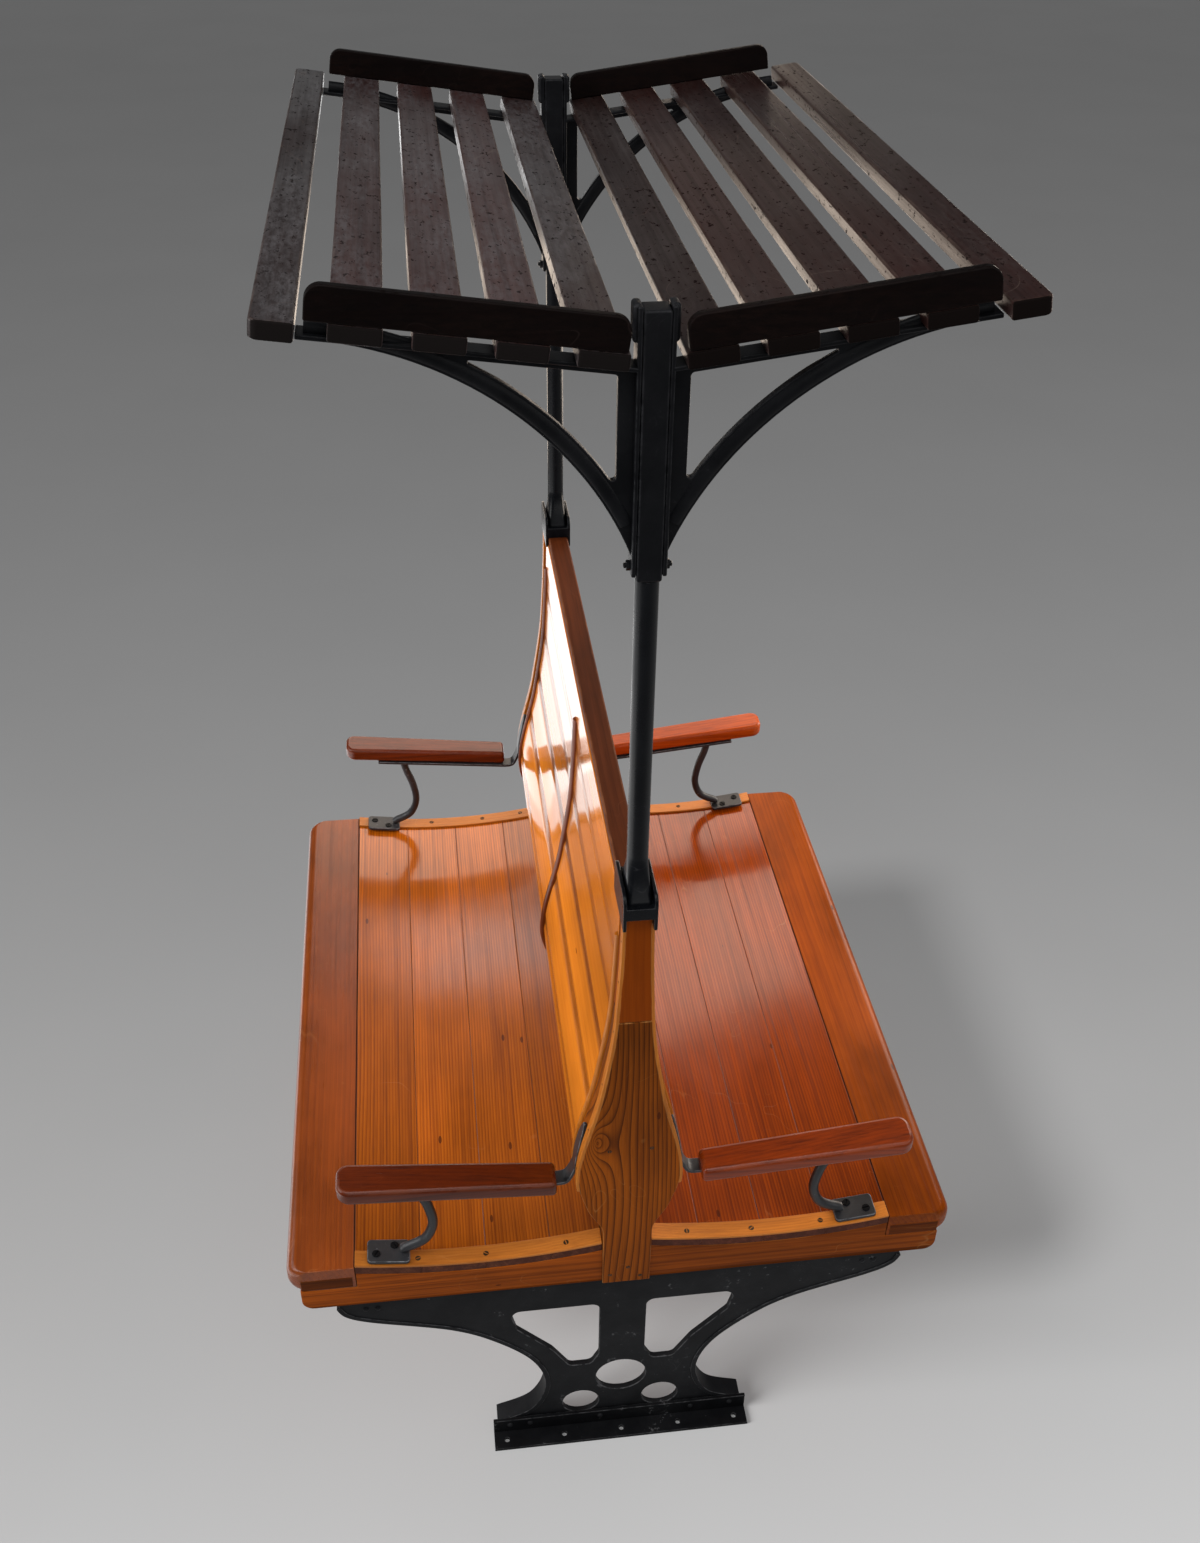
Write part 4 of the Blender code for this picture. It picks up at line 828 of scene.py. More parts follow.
pedestal = dict(
    top=0.3957, face=0.530, web=0.010, rim=0.008, rimBack=0.500, proud=0.5317, flangeFront=0.532,
    tip=0.439, tipDepth=0.021, foot=0.205,
    leg=((0.205, 0.026), (0.148, 0.054), (0.124, 0.120), (0.144, 0.189)),
    arm=((0.238, 0.145), (0.169, 0.101), (0.052, 0.062), (0.013, 0.042)),  # in from the tip, and under the top
    windowUpper=((0.037, 0.074, 0.014), (0.178, 0.074, 0.014), (0.168, 0.119, 0.012)),
    windowLower=((0.112, 0.212, 0.060), (0.084, 0.163, 0.012), (0.050, 0.163, 0.012), (0.037, 0.190, 0.020)),
    holes=((0, 0.124, 0.041, 48), (0.066, 0.058, 0.030, 40), (-0.066, 0.058, 0.030, 40)),
)
for endName, end in ends.items():
    top, rim, tip, foot = (pedestal[key] for key in ("top", "rim", "tip", "foot"))
    webBack = pedestal["face"] - pedestal["web"]
    arm = [(tip - inset, top - depth) for inset, depth in pedestal["arm"]]
    line = smoothLine([*pedestal["leg"], *arm, (tip, top - pedestal["tipDepth"])], 9)
    middle = offsetLine([(foot, rim / 2), *line], rim / 2)
    edge = [*middle, (middle[-1][0], top - rim / 2)]
    window = [(x, top - depth, radius) for x, depth, radius in pedestal["windowUpper"]]
    window = roundCorners([*window, *pedestal["windowLower"]], 8)
    holes = [window, mirrored(window), *[circle((x, z), radius, count) for x, z, radius, count in pedestal["holes"]]]
    bm = castPlate([edge + mirrored(edge), *holes], webBack, pedestal["face"], 0.0016)
    ribbon = offsetLine(middle, rim / 2) + offsetLine(middle, -rim / 2)[::-1]
    for outline in (ribbon, mirrored(ribbon)):
        bar = barFromOutline(outline, pedestal["rimBack"], pedestal["proud"])
        easeEdges(bar, 0.0019, 3, 50)
        absorb(bm, bar)
    for half, low, flangeBack in ((tip, top - rim, pedestal["rimBack"] - rim), (foot, 0.0, webBack - 0.0005)):
        flange = boxMesh((-half, flangeBack, low), (half, pedestal["flangeFront"], low + rim))
        easeEdges(flange, 0.0018, 3)
        absorb(bm, flange)
    finishPiece(f"pedestal_{endName}_casting", bm, pedestalIron, [f"pedestal_{endName}"], 1, end)

floorAngle = dict(half=0.212, low=0.5326, high=0.5683, thick=0.006, leg=0.036, inner=0.5323, holeY=0.5533, pitch=0.0955)
flatWise = Matrix(((1, 0, 0, 0), (0, 0, 1, 0), (0, 1, 0, 0), (0, 0, 0, 1)))  # swaps Y and Z
for endName, end in ends.items():
    half, low, high, thick, inner = (floorAngle[key] for key in ("half", "low", "high", "thick", "inner"))
    holes = [circle((floorAngle["pitch"] * i, floorAngle["holeY"]), 0.004, 20) for i in range(-2, 3)]
    bm = castPlate([[(-half, low), (half, low), (half, high), (-half, high)], *holes], 0, thick, 0.0009)
    bmesh.ops.transform(bm, matrix=flatWise, verts=bm.verts)
    leg = boxMesh((-half, inner, 0.0003), (half, inner + thick, floorAngle["leg"]))
    easeEdges(leg, 0.0012, 3)
    absorb(bm, leg)
    finishPiece(f"floorAngle_{endName}", bm, angleIron, [f"floor_angle_{endName}"], 1, end)
print("pedestals made")

# Rack posts, uprights and brackets

rack = dict(y=0.512, height=1.8465, slope=math.radians(7.7))


def rackPoint(along, below):
    cos, sin = math.cos(rack["slope"]), math.sin(rack["slope"])
    return (along * cos + below * sin, rack["height"] + along * sin - below * cos)


post = dict(
    radius=0.01345, crown=1.1563, neck=1.212, rim=1.5937, foot=(0.0171, 0.0360), saddleHalf=0.043, plate=0.0045,
    seat=1.1383, low=1.1206, high=1.1733, inner=0.0173, corner=0.013, points=48,
)


def neckRing(z, spread):
    # a circle that turns into a soft rectangle as the pipe spreads into its foot
    power = 2 / (2 + 5 * spread)
    wide, deep = (post["radius"] + (size - post["radius"]) * spread for size in post["foot"])
    ring = []
    for i in range(post["points"]):
        cos, sin = math.cos(2 * math.pi * i / post["points"]), math.sin(2 * math.pi * i / post["points"])
        ring.append((wide * math.copysign(abs(cos) ** power, cos), deep * math.copysign(abs(sin) ** power, sin), z))
    return ring


def loftRings(rings):
    bm = newMesh()
    loops = []
    for ring in rings:
        verts = [bm.verts.new(place) for place in ring]
        loops.append([bm.edges.new(pair) for pair in zip(verts, verts[1:] + verts[:1])])
    for lower, upper in zip(loops, loops[1:]):
        bmesh.ops.bridge_loops(bm, edges=lower + upper)
    bmesh.ops.holes_fill(bm, edges=bm.edges, sides=0)
    bmesh.ops.recalc_face_normals(bm, faces=bm.faces)
    return bm


def atSaddleCorner(middle, run):
    upper = abs(middle.x) > post["inner"] and middle.z > post["high"] - 1e-4
    return upper and abs(middle.y) > post["saddleHalf"] - 1e-4 and abs(run.x) > 0.003 and abs(run.y) < 1e-6


for endName, end in ends.items():
    rings = [neckRing(post["seat"] + 0.002, 1.0)]
    rings += [neckRing(post["neck"] + (post["crown"] - post["neck"]) * t, t**1.7) for t in stepsBetween(1, 0, 14)]
    rings += [neckRing(post["rim"] - 0.0012, 0.0)]
    rings += [[(0.93 * x, 0.93 * y, z) for x, y, z in neckRing(post["rim"], 0.0)]]
    bm = loftRings(rings)
    inner, outer = post["inner"], post["inner"] + post["plate"]
    half = [(inner, post["seat"]), (inner, post["low"]), (outer, post["low"])]
    half += [(outer, post["high"]), (inner, post["high"]), (inner, post["crown"])]
    saddle = barFromOutline(half + mirrored(half), -post["saddleHalf"], post["saddleHalf"])
    easeEdges(saddle, post["corner"], 6, 60, atSaddleCorner)
    easeEdges(saddle, 0.0012, 3, 50)
    absorb(bm, saddle)
    bmesh.ops.translate(bm, vec=(0, rack["y"], 0), verts=bm.verts)
    finishPiece(f"rackPost_{endName}", bm, pipeIron, [f"rack_post_{endName}"], 1, end)


def rackBox(lowX, highX, lowZ, highZ, nearer, further):
    return boxMesh((lowX, rack["y"] - nearer, lowZ), (highX, rack["y"] + further, highZ))


upright = dict(half=0.014, deep=0.015, low=1.594, high=1.887)
for endName, end in ends.items():
    half, deep = upright["half"], upright["deep"]
    bm = rackBox(-half, half, upright["low"], upright["high"], deep, deep)
    easeEdges(bm, 0.0026, 3)
    finishPiece(f"rackUpright_{endName}", bm, blackIron, [f"rack_upright_{endName}"], 1, end)

bracket = dict(
    inner=0.0143, top=0.0183, tip=0.3442, flange=0.005, deep=0.014, web=0.0048, arm=0.012, strut=0.020, leg=0.0222,
    bottom=1.600, toe=0.022, sag=0.0575, round=0.0012, earLow=1.853, ear=1.8905, earThick=0.0092, strutDeep=0.0072,
)


def angleFrom(centre, point):
    return math.atan2(point[1] - centre[1], point[0] - centre[0])


def arcThrough(centre, low, high, count):
    return arc(centre, math.dist(centre, low), stepsBetween(angleFrom(centre, low), angleFrom(centre, high), count))


def bracketLoops():
    inner, top, tip, flange, sag = (bracket[key] for key in ("inner", "top", "tip", "flange", "sag"))
    low, high = (inner + flange, bracket["bottom"] + bracket["toe"]), rackPoint(tip, top + flange * 1.5)
    chord = math.dist(low, high)
    radius = chord**2 / (8 * sag) + sag / 2
    drop = (radius - sag) / chord
    centre = (
        (low[0] + high[0]) / 2 + drop * (high[1] - low[1]), (low[1] + high[1]) / 2 - drop * (high[0] - low[0]),
    )
    backX = inner + 0.0008
    outline = arcThrough(centre, low, high, 30) + [rackPoint(tip - 0.0003, top + flange / 2)]
    outline += [(backX, rackPoint(low[0], top + flange / 2)[1]), (backX, low[1])]
    # the open triangle between leg, arm and strut
    side, underArm, reach = inner + bracket["leg"], top + bracket["arm"], radius + bracket["strut"]
    legLow = (side, centre[1] + math.sqrt(reach**2 - (side - centre[0]) ** 2))
    near, far = 0.0, tip
    for _ in range(40):
        probe = (near + far) / 2
        near, far = (near, probe) if math.dist(rackPoint(probe, underArm), centre) < reach else (probe, far)
    end = rackPoint(near, underArm)
    corner = rackPoint((side - underArm * math.sin(rack["slope"])) / math.cos(rack["slope"]), underArm)
    curve = [
        (*spot, 0) for spot in arcThrough(centre, legLow, end, 40)
        if math.dist(spot, legLow) > 0.024 and math.dist(spot, end) > 0.042
    ]
    window = roundCorners([(*legLow, 0.004), *curve, (*end, 0.002), (*corner, 0.004)], 5)
    angles = stepsBetween(angleFrom(centre, low) - 0.02, angleFrom(centre, high) + 0.02, 30)
    strut = arc(centre, radius + bracket["strut"] / 2, angles)
    return outline, window[::-1], [spot for spot in strut if spot[0] > inner + 0.010]


def ringProfile(wide, deep, y):
    return [(wide * math.cos(a), y + deep * math.sin(a)) for a in stepsBetween(0, 2 * math.pi, 20)[:-1]]


for cornerName, side, end in corners:
    outline, window, strut = bracketLoops()
    top, tip, flange, inner, deep = (bracket[key] for key in ("top", "tip", "flange", "inner", "deep"))
    bm = castPlate([outline, window], rack["y"] - bracket["web"], rack["y"] + bracket["web"], bracket["round"])
    start, under = inner + 0.0003, top + flange
    arm = [rackPoint(start, top), rackPoint(tip, top), rackPoint(tip, under), (start, rackPoint(start, under)[1])]
    arm = barFromOutline(arm, rack["y"] - deep, rack["y"] + deep)
    easeEdges(arm, 0.0014, 3, 50)
    leg = rackBox(inner, inner + flange, bracket["bottom"], bracket["ear"], deep, deep)
    easeEdges(leg, 0.0018, 3)
    ear = rackBox(inner, inner + bracket["earThick"], bracket["earLow"], bracket["ear"] + 0.001, deep, deep * 0.6)
    easeEdges(ear, 0.0040, 5)
    ring = ringProfile(bracket["strut"] / 2, bracket["strutDeep"], rack["y"])
    absorb(bm, arm, leg, ear, sweepPath(ring, strut))
    finishPiece(f"rackBracket_{cornerName}", bm, blackIron, [f"rack_bracket_{cornerName}"], side, end)
print("rack irons made")

# Slats and fences

slat = dict(
    start=0.0268, pitch=0.0787, width=0.0515, thick=0.018, half=0.541, ease=0.0030,
    tones={"left": (-0.4, 1.9, 1.3, 0.7, -1.0), "right": (-1.0, 0.2, -0.15, 0.12, 0.0)},
)
outerSlat = dict(start=0.3445, width=0.042, thick=0.020, half=0.547, corner=0.009)
for sideName, side in sides.items():
    rows = [(str(i + 1), {**slat, "start": slat["start"] + slat["pitch"] * i}) for i in range(4)]
    for index, (label, size) in enumerate([*rows, ("outer", outerSlat)]):
        width, thick, half, ease = size["width"], size["thick"], size["half"], slat["ease"]
        bm = boxMesh((-width / 2, -half, -thick / 2), (width / 2, half, thick / 2))
        if label == "outer":
            easeEdges(bm, outerSlat["corner"], 6, 60, lambda middle, run: middle.x > 0 and abs(run.z) > 0.01)
        easeEdges(bm, ease, 4)
        cutLengthwise(bm, 26)
        for place in (ease - half, half - ease):
            cutAt(bm, (0, place * 0.998, 0), (0, 1, 0))
        soilAndShade(bm, lambda place: 1.5 if abs(place.y) > half - 0.6 * ease else 0.0)  # end grain, dark with old varnish
        waver(bm, 0.0005, 1.7 * index + side)
        x, z = rackPoint(size["start"] + width / 2, thick / 2)
        lie = shift(x, 0, z) @ Matrix.Rotation(-rack["slope"], 4, "Y")
        bmesh.ops.transform(bm, matrix=lie, verts=bm.verts)
        finishPiece(f"rackSlat_{sideName}_{label}", bm, slatWood[sideName],
                    [f"rack_slat_{sideName}_{label}"], side, tone=slat["tones"][sideName][index])

fence = dict(start=0.030, stop=0.337, foot=0.0003, height=0.0358, low=0.529, high=0.541, corner=0.016)
for cornerName, side, end in corners:
    start, stop, height, corner = (fence[key] for key in ("start", "stop", "height", "corner"))
    plan = [(start, fence["foot"], 0), (stop, fence["foot"], 0), (stop, height, corner), (start, height, corner)]
    outline = [rackPoint(along, -up) for along, up in roundCorners(plan, 8)]
    bm = barFromOutline(outline, fence["low"], fence["high"])
    easeEdges(bm, 0.0020, 3, 50)
    finishPiece(f"rackFence_{cornerName}", bm, fenceWood, [f"rack_fence_{cornerName}"], side, end)
print("rack wood made")

# Arms

pad = dict(
    rear=0.105, front=0.4135, rearTop=0.648, frontTop=0.680, thick=0.026, inner=0.5085, rearWide=0.045,
    frontWide=0.0555, rearCorner=0.007, frontCorner=0.0180, edge=0.0072,
    tones={"near_left": -0.5, "near_right": 1.5, "far_left": 0.1, "far_right": 0.0},
)


def padTop(x):
    return pad["rearTop"] + (pad["frontTop"] - pad["rearTop"]) * (x - pad["rear"]) / (pad["front"] - pad["rear"])


for cornerName, side, end in corners:
    frontInner = pad["inner"] - (pad["frontWide"] - pad["rearWide"]) / 4
    plan = roundCorners([
        (pad["rear"], pad["inner"], pad["rearCorner"]), (pad["front"], frontInner, pad["frontCorner"]),
        (pad["front"], frontInner + pad["frontWide"], pad["frontCorner"]),
        (pad["rear"], pad["inner"] + pad["rearWide"], pad["rearCorner"]),
    ], 8)
    bm = slabFromPlan(plan, -pad["thick"], 0.0)
    easeEdges(bm, pad["edge"], 4, 50)
    for vert in bm.verts:
        vert.co.z += padTop(vert.co.x)
    finishPiece(f"armPad_{cornerName}", bm, padWood.get(cornerName, padWood[""]),
                [f"arm_pad_{cornerName}"], side, end, tone=pad["tones"][cornerName])

armIron = dict(
    y=0.5175, foot=0.3534, footHalf=0.0315, footSide=0.020, footThick=0.006, corner=0.006, radius=0.0074, tail=0.019,
    sweep=0.0684, comeback=0.020, lift=0.0036, strapHalf=0.012, strapThick=0.005, curl=0.030, climb=0.112, taper=0.050,
    line=((0.40, 0.012), (0.81, 0.12), (1.0, 0.34), (0.94, 0.60), (0.78, 0.84)),  # shares of the sweep and the rise
)
dishCurve = 2 * seat["dip"] / seat["dipHalf"] ** 2
footBottom = seatTop(armIron["foot"]) + batten["thick"] + dishCurve * armIron["footHalf"] ** 2 / 2 + 0.0009
footTilt = math.atan(dishCurve * (armIron["foot"] - seat["dipMiddle"]))
footPlace = shift(armIron["foot"], armIron["y"], footBottom) @ Matrix.Rotation(-footTilt, 4, "Y")


def strapMiddle(x):
    return padTop(x) - pad["thick"] - 0.0003 - armIron["strapThick"] / 2


def footPlate():
    half, deep = armIron["footHalf"], armIron["footSide"]
    plan = [(-half, -deep), (half, -deep), (half, deep), (-half, deep)]
    bm = slabFromPlan(roundCorners([(*spot, armIron["corner"]) for spot in plan], 6), 0.0, armIron["footThick"])
    easeEdges(bm, 0.0016, 3, 50)
    bmesh.ops.transform(bm, matrix=footPlace, verts=bm.verts)
    return bm


def stanchion():
    foot, sweep, radius = armIron["foot"], armIron["sweep"], armIron["radius"]
    low = footBottom + armIron["footThick"] + armIron["lift"]
    topX = foot - sweep + armIron["comeback"]
    rise = strapMiddle(topX) - low
    bends = [(foot - sweep * backward, low + rise * up) for backward, up in armIron["line"]]
    path = smoothLine([(foot - armIron["tail"], low - 0.0005), *bends, (topX, strapMiddle(topX))], 8)
    sizes = [0.62 + 0.38 * min(1.0, i / 9) for i in range(len(path))]
    bm = sweepPath(ringProfile(radius, radius, armIron["y"]), path, sizes)
    easeEdges(bm, 0.0022, 3, 60)
    return bm


def padStrap():
    curl, thick = armIron["curl"], armIron["strapThick"] / 2
    low = strapMiddle(pad["rear"])
    climb = offsetLine(backLine(low + curl, low + armIron["climb"], 14), -thick - 0.0006)
    knee = (climb[0][0] + curl / 2.5, low + curl / 8)
    bend = smoothLine([(pad["rear"], low), knee, climb[0], climb[1]], 8)[:17]
    path = [(armIron["foot"], strapMiddle(armIron["foot"])), *bend, *climb[1:]]
    nearer, further = armIron["y"] - armIron["strapHalf"], armIron["y"] + armIron["strapHalf"]
    bm = sweepPath([(-thick, nearer), (thick, nearer), (thick, further), (-thick, further)], path)
    for vert in bm.verts:  # narrows to a round tip up the back
        share = max(0.0, 1 - (path[-1][1] - vert.co.z) / armIron["taper"])
        vert.co.y = armIron["y"] + (vert.co.y - armIron["y"]) * math.sqrt(max(0.05, 1 - share**2))
    easeEdges(bm, 0.0012, 3, 50)
    return bm


for cornerName, side, end in corners:
    bm = absorb(footPlate(), stanchion(), padStrap())
    finishPiece(f"armIron_{cornerName}", bm, armMetal, [f"arm_iron_{cornerName}"], side, end)
print("arms made")

# Fasteners


def discHead(radius, height, points, rim, segments):
    bm = bmesh.new()
    bmesh.ops.create_circle(bm, cap_ends=True, segments=points, radius=radius)
    top = grow(bm, bm.faces[:], shift(0, 0, height))
    bmesh.ops.bevel(bm, geom=list(top[0].edges), offset=height * rim, offset_type="OFFSET", segments=segments,
                    profile=0.5, affect="EDGES", material=-1)
    return bm


def screwHead(radius, height, slotHalf=0.0006, slotDepth=0.0008):
    bm = discHead(radius, height, 24, 0.45, 3)

    def flatTop():
        return [face for face in bm.faces if face.calc_center_median().z > height - 1e-6]

    for sign in (-1, 1):
        cutAt(bm, (sign * slotHalf, 0, 0), (1, 0, 0), flatTop())
    slot = [face for face in flatTop() if abs(face.calc_center_median().x) < slotHalf]
    grow(bm, slot, shift(0, 0, -slotDepth), inside=True)
    bmesh.ops.recalc_face_normals(bm, faces=bm.faces)
    return bm


def domeHead(radius, height):
    dome = [(radius * math.cos(a), height * math.sin(a)) for a in stepsBetween(0, math.pi / 2, 7)]
    return spinProfile([(0, -0.001), (radius, -0.001), *dome], 24)


def nutHead(radius, height):
    bm = discHead(radius, height, 6, 0.18, 2)
    bmesh.ops.recalc_face_normals(bm, faces=bm.faces)
    stud = ((0, 0.6), (0.52, 0.6), (0.52, 1.45), (0.36, 1.6), (0, 1.6))
    return absorb(bm, spinProfile([(radius * out, height * up) for out, up in stud], 20))


def placedCopies(head, places):
    stamp = bpy.data.meshes.new("head")
    head.to_mesh(stamp)
    head.free()
    bm = newMesh()
    for place in places:
        copy = stamp.copy()
        copy.transform(place)
        bm.from_mesh(copy)
        bpy.data.meshes.remove(copy)
    bpy.data.meshes.remove(stamp)
    return bm


def facing(point, direction, turn):
    aim = Vector(direction).to_track_quat("Z", "Y").to_matrix().to_4x4()
    return shift(*point) @ aim @ Matrix.Rotation(turn, 4, "Z")


def onSeat(x, y, lift, turn):
    slope = dishCurve * (abs(x) - seat["dipMiddle"]) * math.copysign(1, x)
    return facing((x, y, seatTop(x) + lift), (-slope, 0, 1), turn)


def onBack(z, y, lift, side):
    out = Vector((1.0, 0, (backHalf(z - 0.004) - backHalf(z + 0.004)) / 0.008)).normalized()
    spot = Vector((backHalf(z), y, z)) + out * lift
    return facing((spot.x * side, y, spot.z), (out.x * side, 0, out.z), 0.0)


battenScrews = dict(
    y=0.527, lift=0.0039,
    near=(-0.3105, -0.2098, -0.0899, 0.0933, 0.193, 0.300), far=(-0.2573, -0.1534, -0.0753, 0.085, 0.166, 0.2553),
)
places = [
    onSeat(x, end * battenScrews["y"], battenScrews["lift"], 1.3 * i + x * 9)
    for endName, end in ends.items() for i, x in enumerate(battenScrews[endName])
]
finishPiece("battenScrews", placedCopies(screwHead(0.0041, 0.0009, 0.0008), places), screwIron)

footScrews = ((0.0185, 0.0055), (-0.0085, -0.0095))
places = []
for cornerName, side, end in corners:
    for i, (along, out) in enumerate(footScrews):
        spot = footPlace @ Vector((along, out, armIron["footThick"] - 0.0002))
        normal = footPlace.to_3x3() @ Vector((0, 0, 1))
        turned = Vector((side, end, 1))
        places.append(facing(spot * turned, normal * turned, 0.6 + 1.1 * i + side * end * 0.5))
finishPiece("footScrews", placedCopies(screwHead(0.0062, 0.0016, 0.0010, 0.0013), places), blackIron)

postScrews = dict(foot=((-0.0248, 0.4156), (0.0024, 0.4311), (0.0214, 0.4083)), sides=(0.030, 0.700), y=0.5446)
places = []
for end in ends.values():
    places += [facing((x, end * postScrews["y"], z), (0, end, 0), 0.5 + 30 * x) for x, z in postScrews["foot"]]
for cornerName, side, end in corners:
    x, z = postScrews["sides"]
    places.append(facing((side * x, end * postScrews["y"], z), (0, end, 0), 0.0))
finishPiece("postScrews", placedCopies(screwHead(0.0030, 0.0008), places), screwIron)

stripNails = dict(
    y=0.5368, postLift=0.0034, middleLift=0.0060,
    post=(0.66, 0.74, 0.83, 0.93, 1.02, 1.09), middle=(0.625, 0.71, 0.80, 0.89, 0.97, 1.045),
)
places = [
    onBack(z, end * stripNails["y"], stripNails["postLift"], side)
    for cornerName, side, end in corners for z in stripNails["post"]
]
places += [onBack(z, 0.0, stripNails["middleLift"], side) for side in sides.values() for z in stripNails["middle"]]
finishPiece("stripNails", placedCopies(domeHead(0.0017, 0.0006), places), screwIron)

uprightNuts = dict(x=0.0191, z=1.6085, turn=0.35)
places = [
    facing((side * uprightNuts["x"], end * rack["y"], uprightNuts["z"]), (side, 0, 0), uprightNuts["turn"] + side)
    for cornerName, side, end in corners
]
finishPiece("uprightNuts", placedCopies(nutHead(0.0058, 0.0046), places), blackIron)

ironRivets = dict(
    arm=(0.5298, 0.3688, (-0.3954, -0.3773, 0.3773, 0.3954)),
    foot=(0.5381, 0.0245, (-0.185, -0.1517, -0.0343, 0.1184, 0.185)),
)
places = []
for end in ends.values():
    for y, z, xs in ironRivets.values():
        places += [facing((x, end * y, z), (0, end, 0), 0.0) for x in xs]
finishPiece("ironRivets", placedCopies(domeHead(0.0046, 0.0034), places), pedestalIron)
print("fasteners made")

# the pieces that stay as the frame has them
for name in ("middle_bearer", "middle_post"):
    for materialSlot in frame["nodes"][name].material_slots:
        materialSlot.material = railWood

# Floor, light and camera

floorLook = dict(
    half=30.0, far=0.117, slope=0.180, curve=0.275, bounce=0.39, roughness=0.75, rise=2.37, back=1.92, start=0.19,
)
bm = bmesh.new()
bmesh.ops.create_grid(bm, x_segments=1, y_segments=1, size=floorLook["half"])
mesh = bpy.data.meshes.new("ground")
bm.to_mesh(mesh)
bm.free()
floor = bpy.data.objects.new("ground", mesh)


def shownRays(tree):
    rays = addNode(tree, "ShaderNodeLightPath").outputs
    seen = calc("MAXIMUM", rays["Is Camera Ray"], rays["Is Glossy Ray"])
    return calc("MAXIMUM", seen, rays["Is Transmission Ray"])


# paper that fades from pale in front of the bench to grey far behind it
finish, tree, shader = newFinish("floorPaper")
place = addNode(tree, "ShaderNodeTexCoord").outputs["Object"]
mottle = remap(cloud(place, 1.5, 1.5, 3.0), 0.3, 0.7, 0.985, 1.015)
spot = addNode(tree, "ShaderNodeSeparateXYZ", {0: place}).outputs
depth = calc("MAXIMUM", plus(spot[1], floorLook["back"]), calc("SUBTRACT", -0.1, spot[1]))
depth = calc("MAXIMUM", depth, times(calc("ABSOLUTE", spot[0]), 0.6))
fade = calc("SUBTRACT", calc("ARCTAN2", floorLook["rise"], depth), floorLook["start"])
fade = calc("MINIMUM", calc("MAXIMUM", fade, 0.0), 1.0)
pale = times(fade, plus(times(fade, floorLook["curve"]), floorLook["slope"]))
pale = times(plus(pale, floorLook["far"]), mottle)
pale = times(calc("SUBTRACT", pale, floorLook["bounce"]), shownRays(tree))
plug(shader, {"Base Color": plus(pale, floorLook["bounce"])})
plug(shader, {"Roughness": floorLook["roughness"], "Specular IOR Level": 0.0})
mesh.materials.append(finish)
scene.collection.objects.link(floor)

warm = (1.0, 0.83, 0.68)
lights = {
    "glowNear": dict(at=(-0.25, 0.95, 0.02), to=(-0.25, 0.95, 1.0), size=(1.3, 0.7), radiance=1.05),
    "glowBehind": dict(at=(-0.25, 2.00, 0.02), to=(-0.25, 2.00, 1.0), size=(1.3, 1.4), radiance=1.8),
    "glowLeft": dict(at=(-1.85, 0.25, 0.02), to=(-1.85, 0.25, 1.0), size=(1.7, 3.0), radiance=2.0),
    "panelLowLeft": dict(at=(-0.31, 1.45, 1.125), to=(-0.31, 0, 1.125), size=(0.77, 0.59), radiance=3.5, tint=warm),
    "panelLowRight": dict(at=(0.425, 1.45, 1.10), to=(0.425, 0, 1.10), size=(0.70, 0.54), radiance=3.5, tint=warm),
    "panelHigh": dict(at=(-0.38, 1.45, 1.685), to=(-0.38, 0, 1.685), size=(0.54, 0.29), radiance=2.8),
    "panelHighRight": dict(at=(0.55, 1.45, 1.77), to=(0.55, 0, 1.77), size=(0.60, 0.57), radiance=3.8, tint=warm),
    "panelTop": dict(at=(-0.10, 2.2, 2.52), to=(-0.10, 0, 1.9), size=(0.9, 0.9), radiance=0.18),
    "backRight": dict(at=(1.50, 1.05, 1.25), to=(0.3, 0.2, 0.5), size=(0.9, 1.2), radiance=8.6,
                      tint=(1.0, 0.88, 0.76), skips=("pedestal", "floorAngle")),
    "sideLeft": dict(at=(-2.6, 0.2, 2.0), to=(0, 0.2, 0.9), size=(2.6, 1.4), radiance=2.4),
    "keyLeft": dict(at=(-2.7, -0.9, 2.6), to=(0, 0, 0.6), size=(1.4, 1.4), radiance=6.4),
    "overhead": dict(at=(-0.4, -1.3, 4.2), to=(0, -0.3, 0.4), size=(2.6, 2.2), radiance=3.2),
    "fillFront": dict(at=(0.8, -3.4, 2.8), to=(0.2, 0, 0.4), size=(2.6, 1.8), radiance=1.3),
    "fillRight": dict(at=(2.6, -1.8, 2.6), to=(0, 0, 0.6), size=(1.8, 1.8), radiance=2.0),
}


def pieceGroup(name, starts, state):
    group = bpy.data.collections.new(name)
    for piece in scene.objects:
        if piece.type == "MESH" and piece.name.startswith(starts):
            group.objects.link(piece)
    for entry in group.collection_objects:
        entry.light_linking.link_state = state
    return group


# the panels leave no bright patch on the floor, which has lamps of its own
for name, light in lights.items():
    lamp = bpy.data.lights.new(name, "AREA")
    lamp.shape = "RECTANGLE"
    lamp.size, lamp.size_y = light["size"]
    lamp.energy = math.pi * lamp.size * lamp.size_y * light["radiance"]
    lamp.color = light.get("tint", (1.0, 1.0, 1.0))
    holder = bpy.data.objects.new(name, lamp)
    holder.location = light["at"]
    holder.rotation_euler = (Vector(light["to"]) - Vector(light["at"])).to_track_quat("-Z", "Y").to_euler()
    holder.visible_camera = False
    unlit = pieceGroup(f"unlit_{name}", ("ground", *light.get("skips", ())), "EXCLUDE")
    holder.light_linking.receiver_collection = unlit
    scene.collection.objects.link(holder)

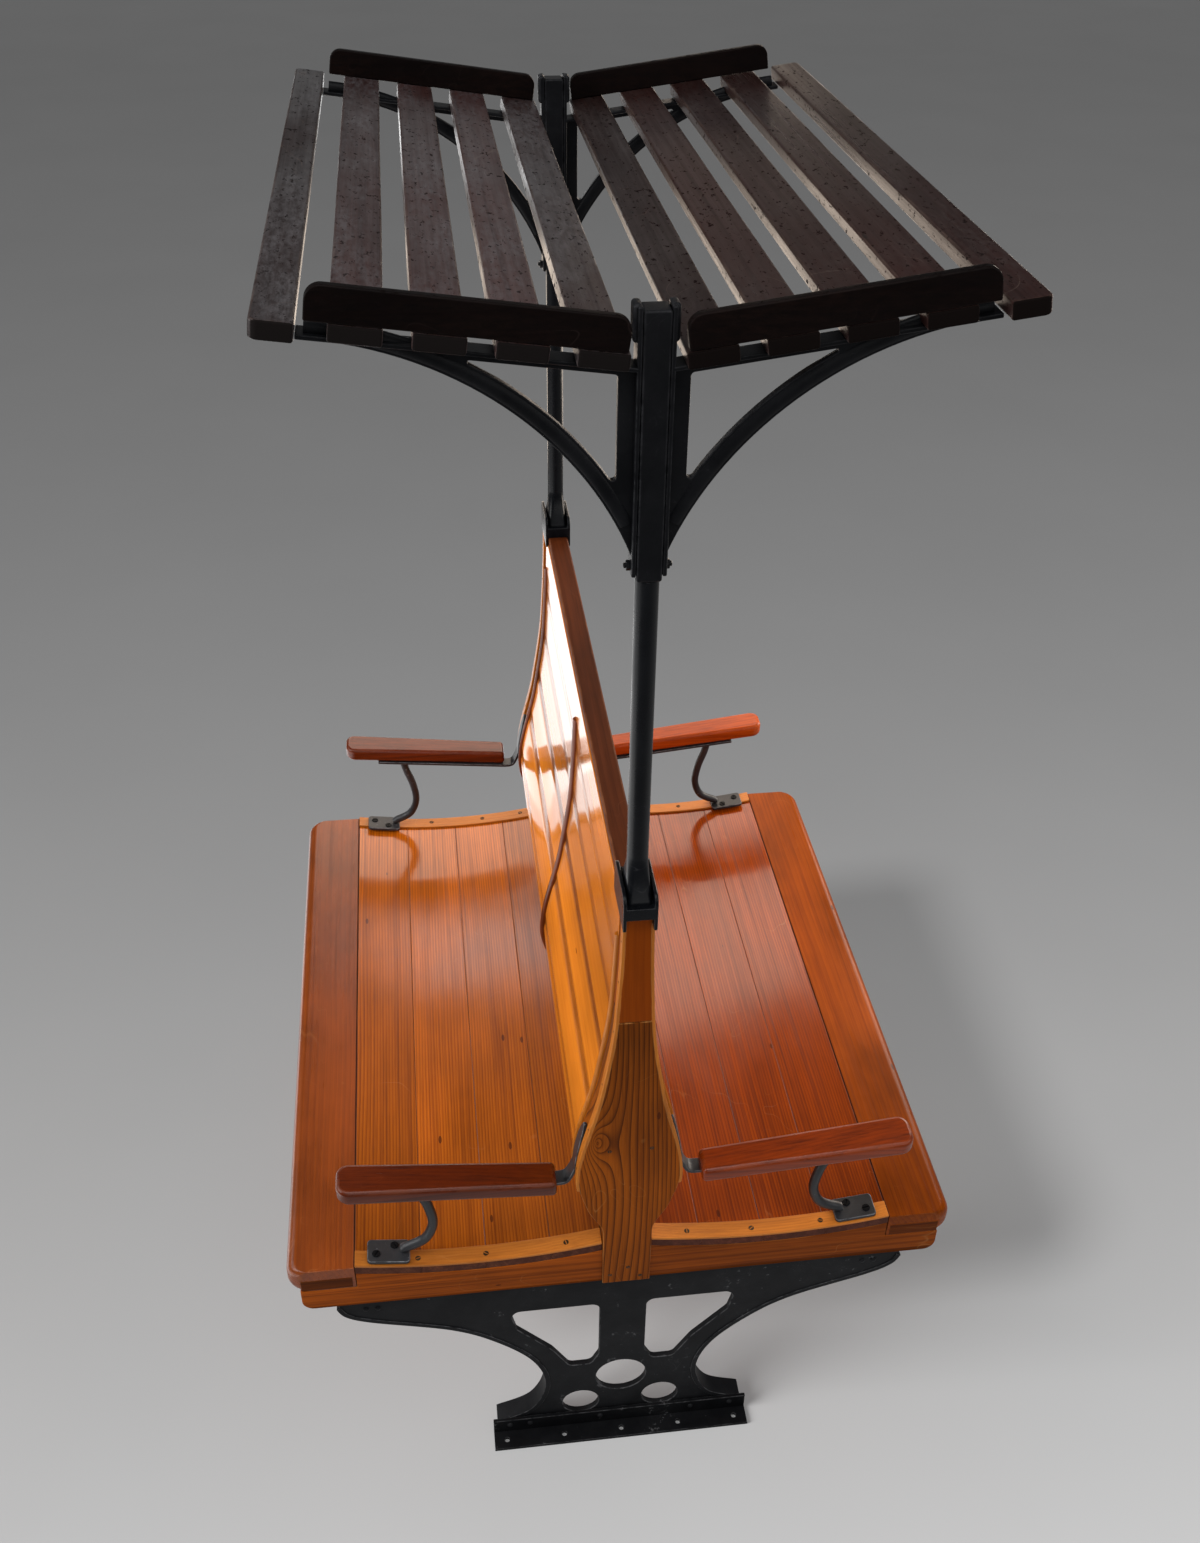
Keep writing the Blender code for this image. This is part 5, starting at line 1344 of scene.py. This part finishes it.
# lamps that draw the shadows of the seat and of the near foot on the floor
shadows = {
    "seatShadow": dict(source=(-0.92, -0.55, 1.0), strength=1.56, angle=13.0,
                       pieces=("seat", "nosingLap", "endRail", "pedestal_far", "floorAngle_far")),
    "footShadow": dict(source=(-1.7, -0.52, 1.0), strength=3.62, angle=34.0,
                       pieces=("pedestal_near_casting", "floorAngle_near")),
}
for name, shadow in shadows.items():
    lamp = bpy.data.lights.new(name, "SUN")
    lamp.energy, lamp.angle = shadow["strength"], math.radians(shadow["angle"])
    holder = bpy.data.objects.new(name, lamp)
    holder.rotation_euler = Vector(shadow["source"]).to_track_quat("Z", "Y").to_euler()
    holder.light_linking.receiver_collection = pieceGroup(f"lit_{name}", ("ground",), "INCLUDE")
    holder.light_linking.blocker_collection = pieceGroup(f"blockers_{name}", shadow["pieces"], "INCLUDE")
    scene.collection.objects.link(holder)

world = bpy.data.worlds.new("studio")
world.use_nodes = True
strength = remap(shownRays(world.node_tree), 0.0, 1.0, 0.18, 0.13)
plug(world.node_tree.nodes["Background"], {"Color": (0.98, 0.99, 1.0, 1.0), "Strength": strength})
scene.world = world
scene.view_settings.view_transform = "Standard"

view = dict(
    at=(-0.23352547, -1.91866853, 2.37063994), yaw=7.52295873, pitch=36.03957222, roll=0.89466655, lens=34.964,
)
yaw, pitch, roll = (math.radians(view[key]) for key in ("yaw", "pitch", "roll"))
forward = Vector((math.sin(yaw) * math.cos(pitch), math.cos(yaw) * math.cos(pitch), -math.sin(pitch)))
level = Vector((math.cos(yaw), -math.sin(yaw), 0))
above = level.cross(forward)
rightward = math.cos(roll) * level + math.sin(roll) * above
upward = -math.sin(roll) * level + math.cos(roll) * above
lens = bpy.data.cameras.new("photoCamera")
lens.lens, lens.sensor_width, lens.sensor_fit = view["lens"], 36.0, "AUTO"
lens.clip_end = 100.0
camera = bpy.data.objects.new("photoCamera", lens)
camera.matrix_world = shift(*view["at"]) @ Matrix((rightward, upward, -forward)).transposed().to_4x4()
scene.collection.objects.link(camera)
scene.camera = camera
print("studio made")
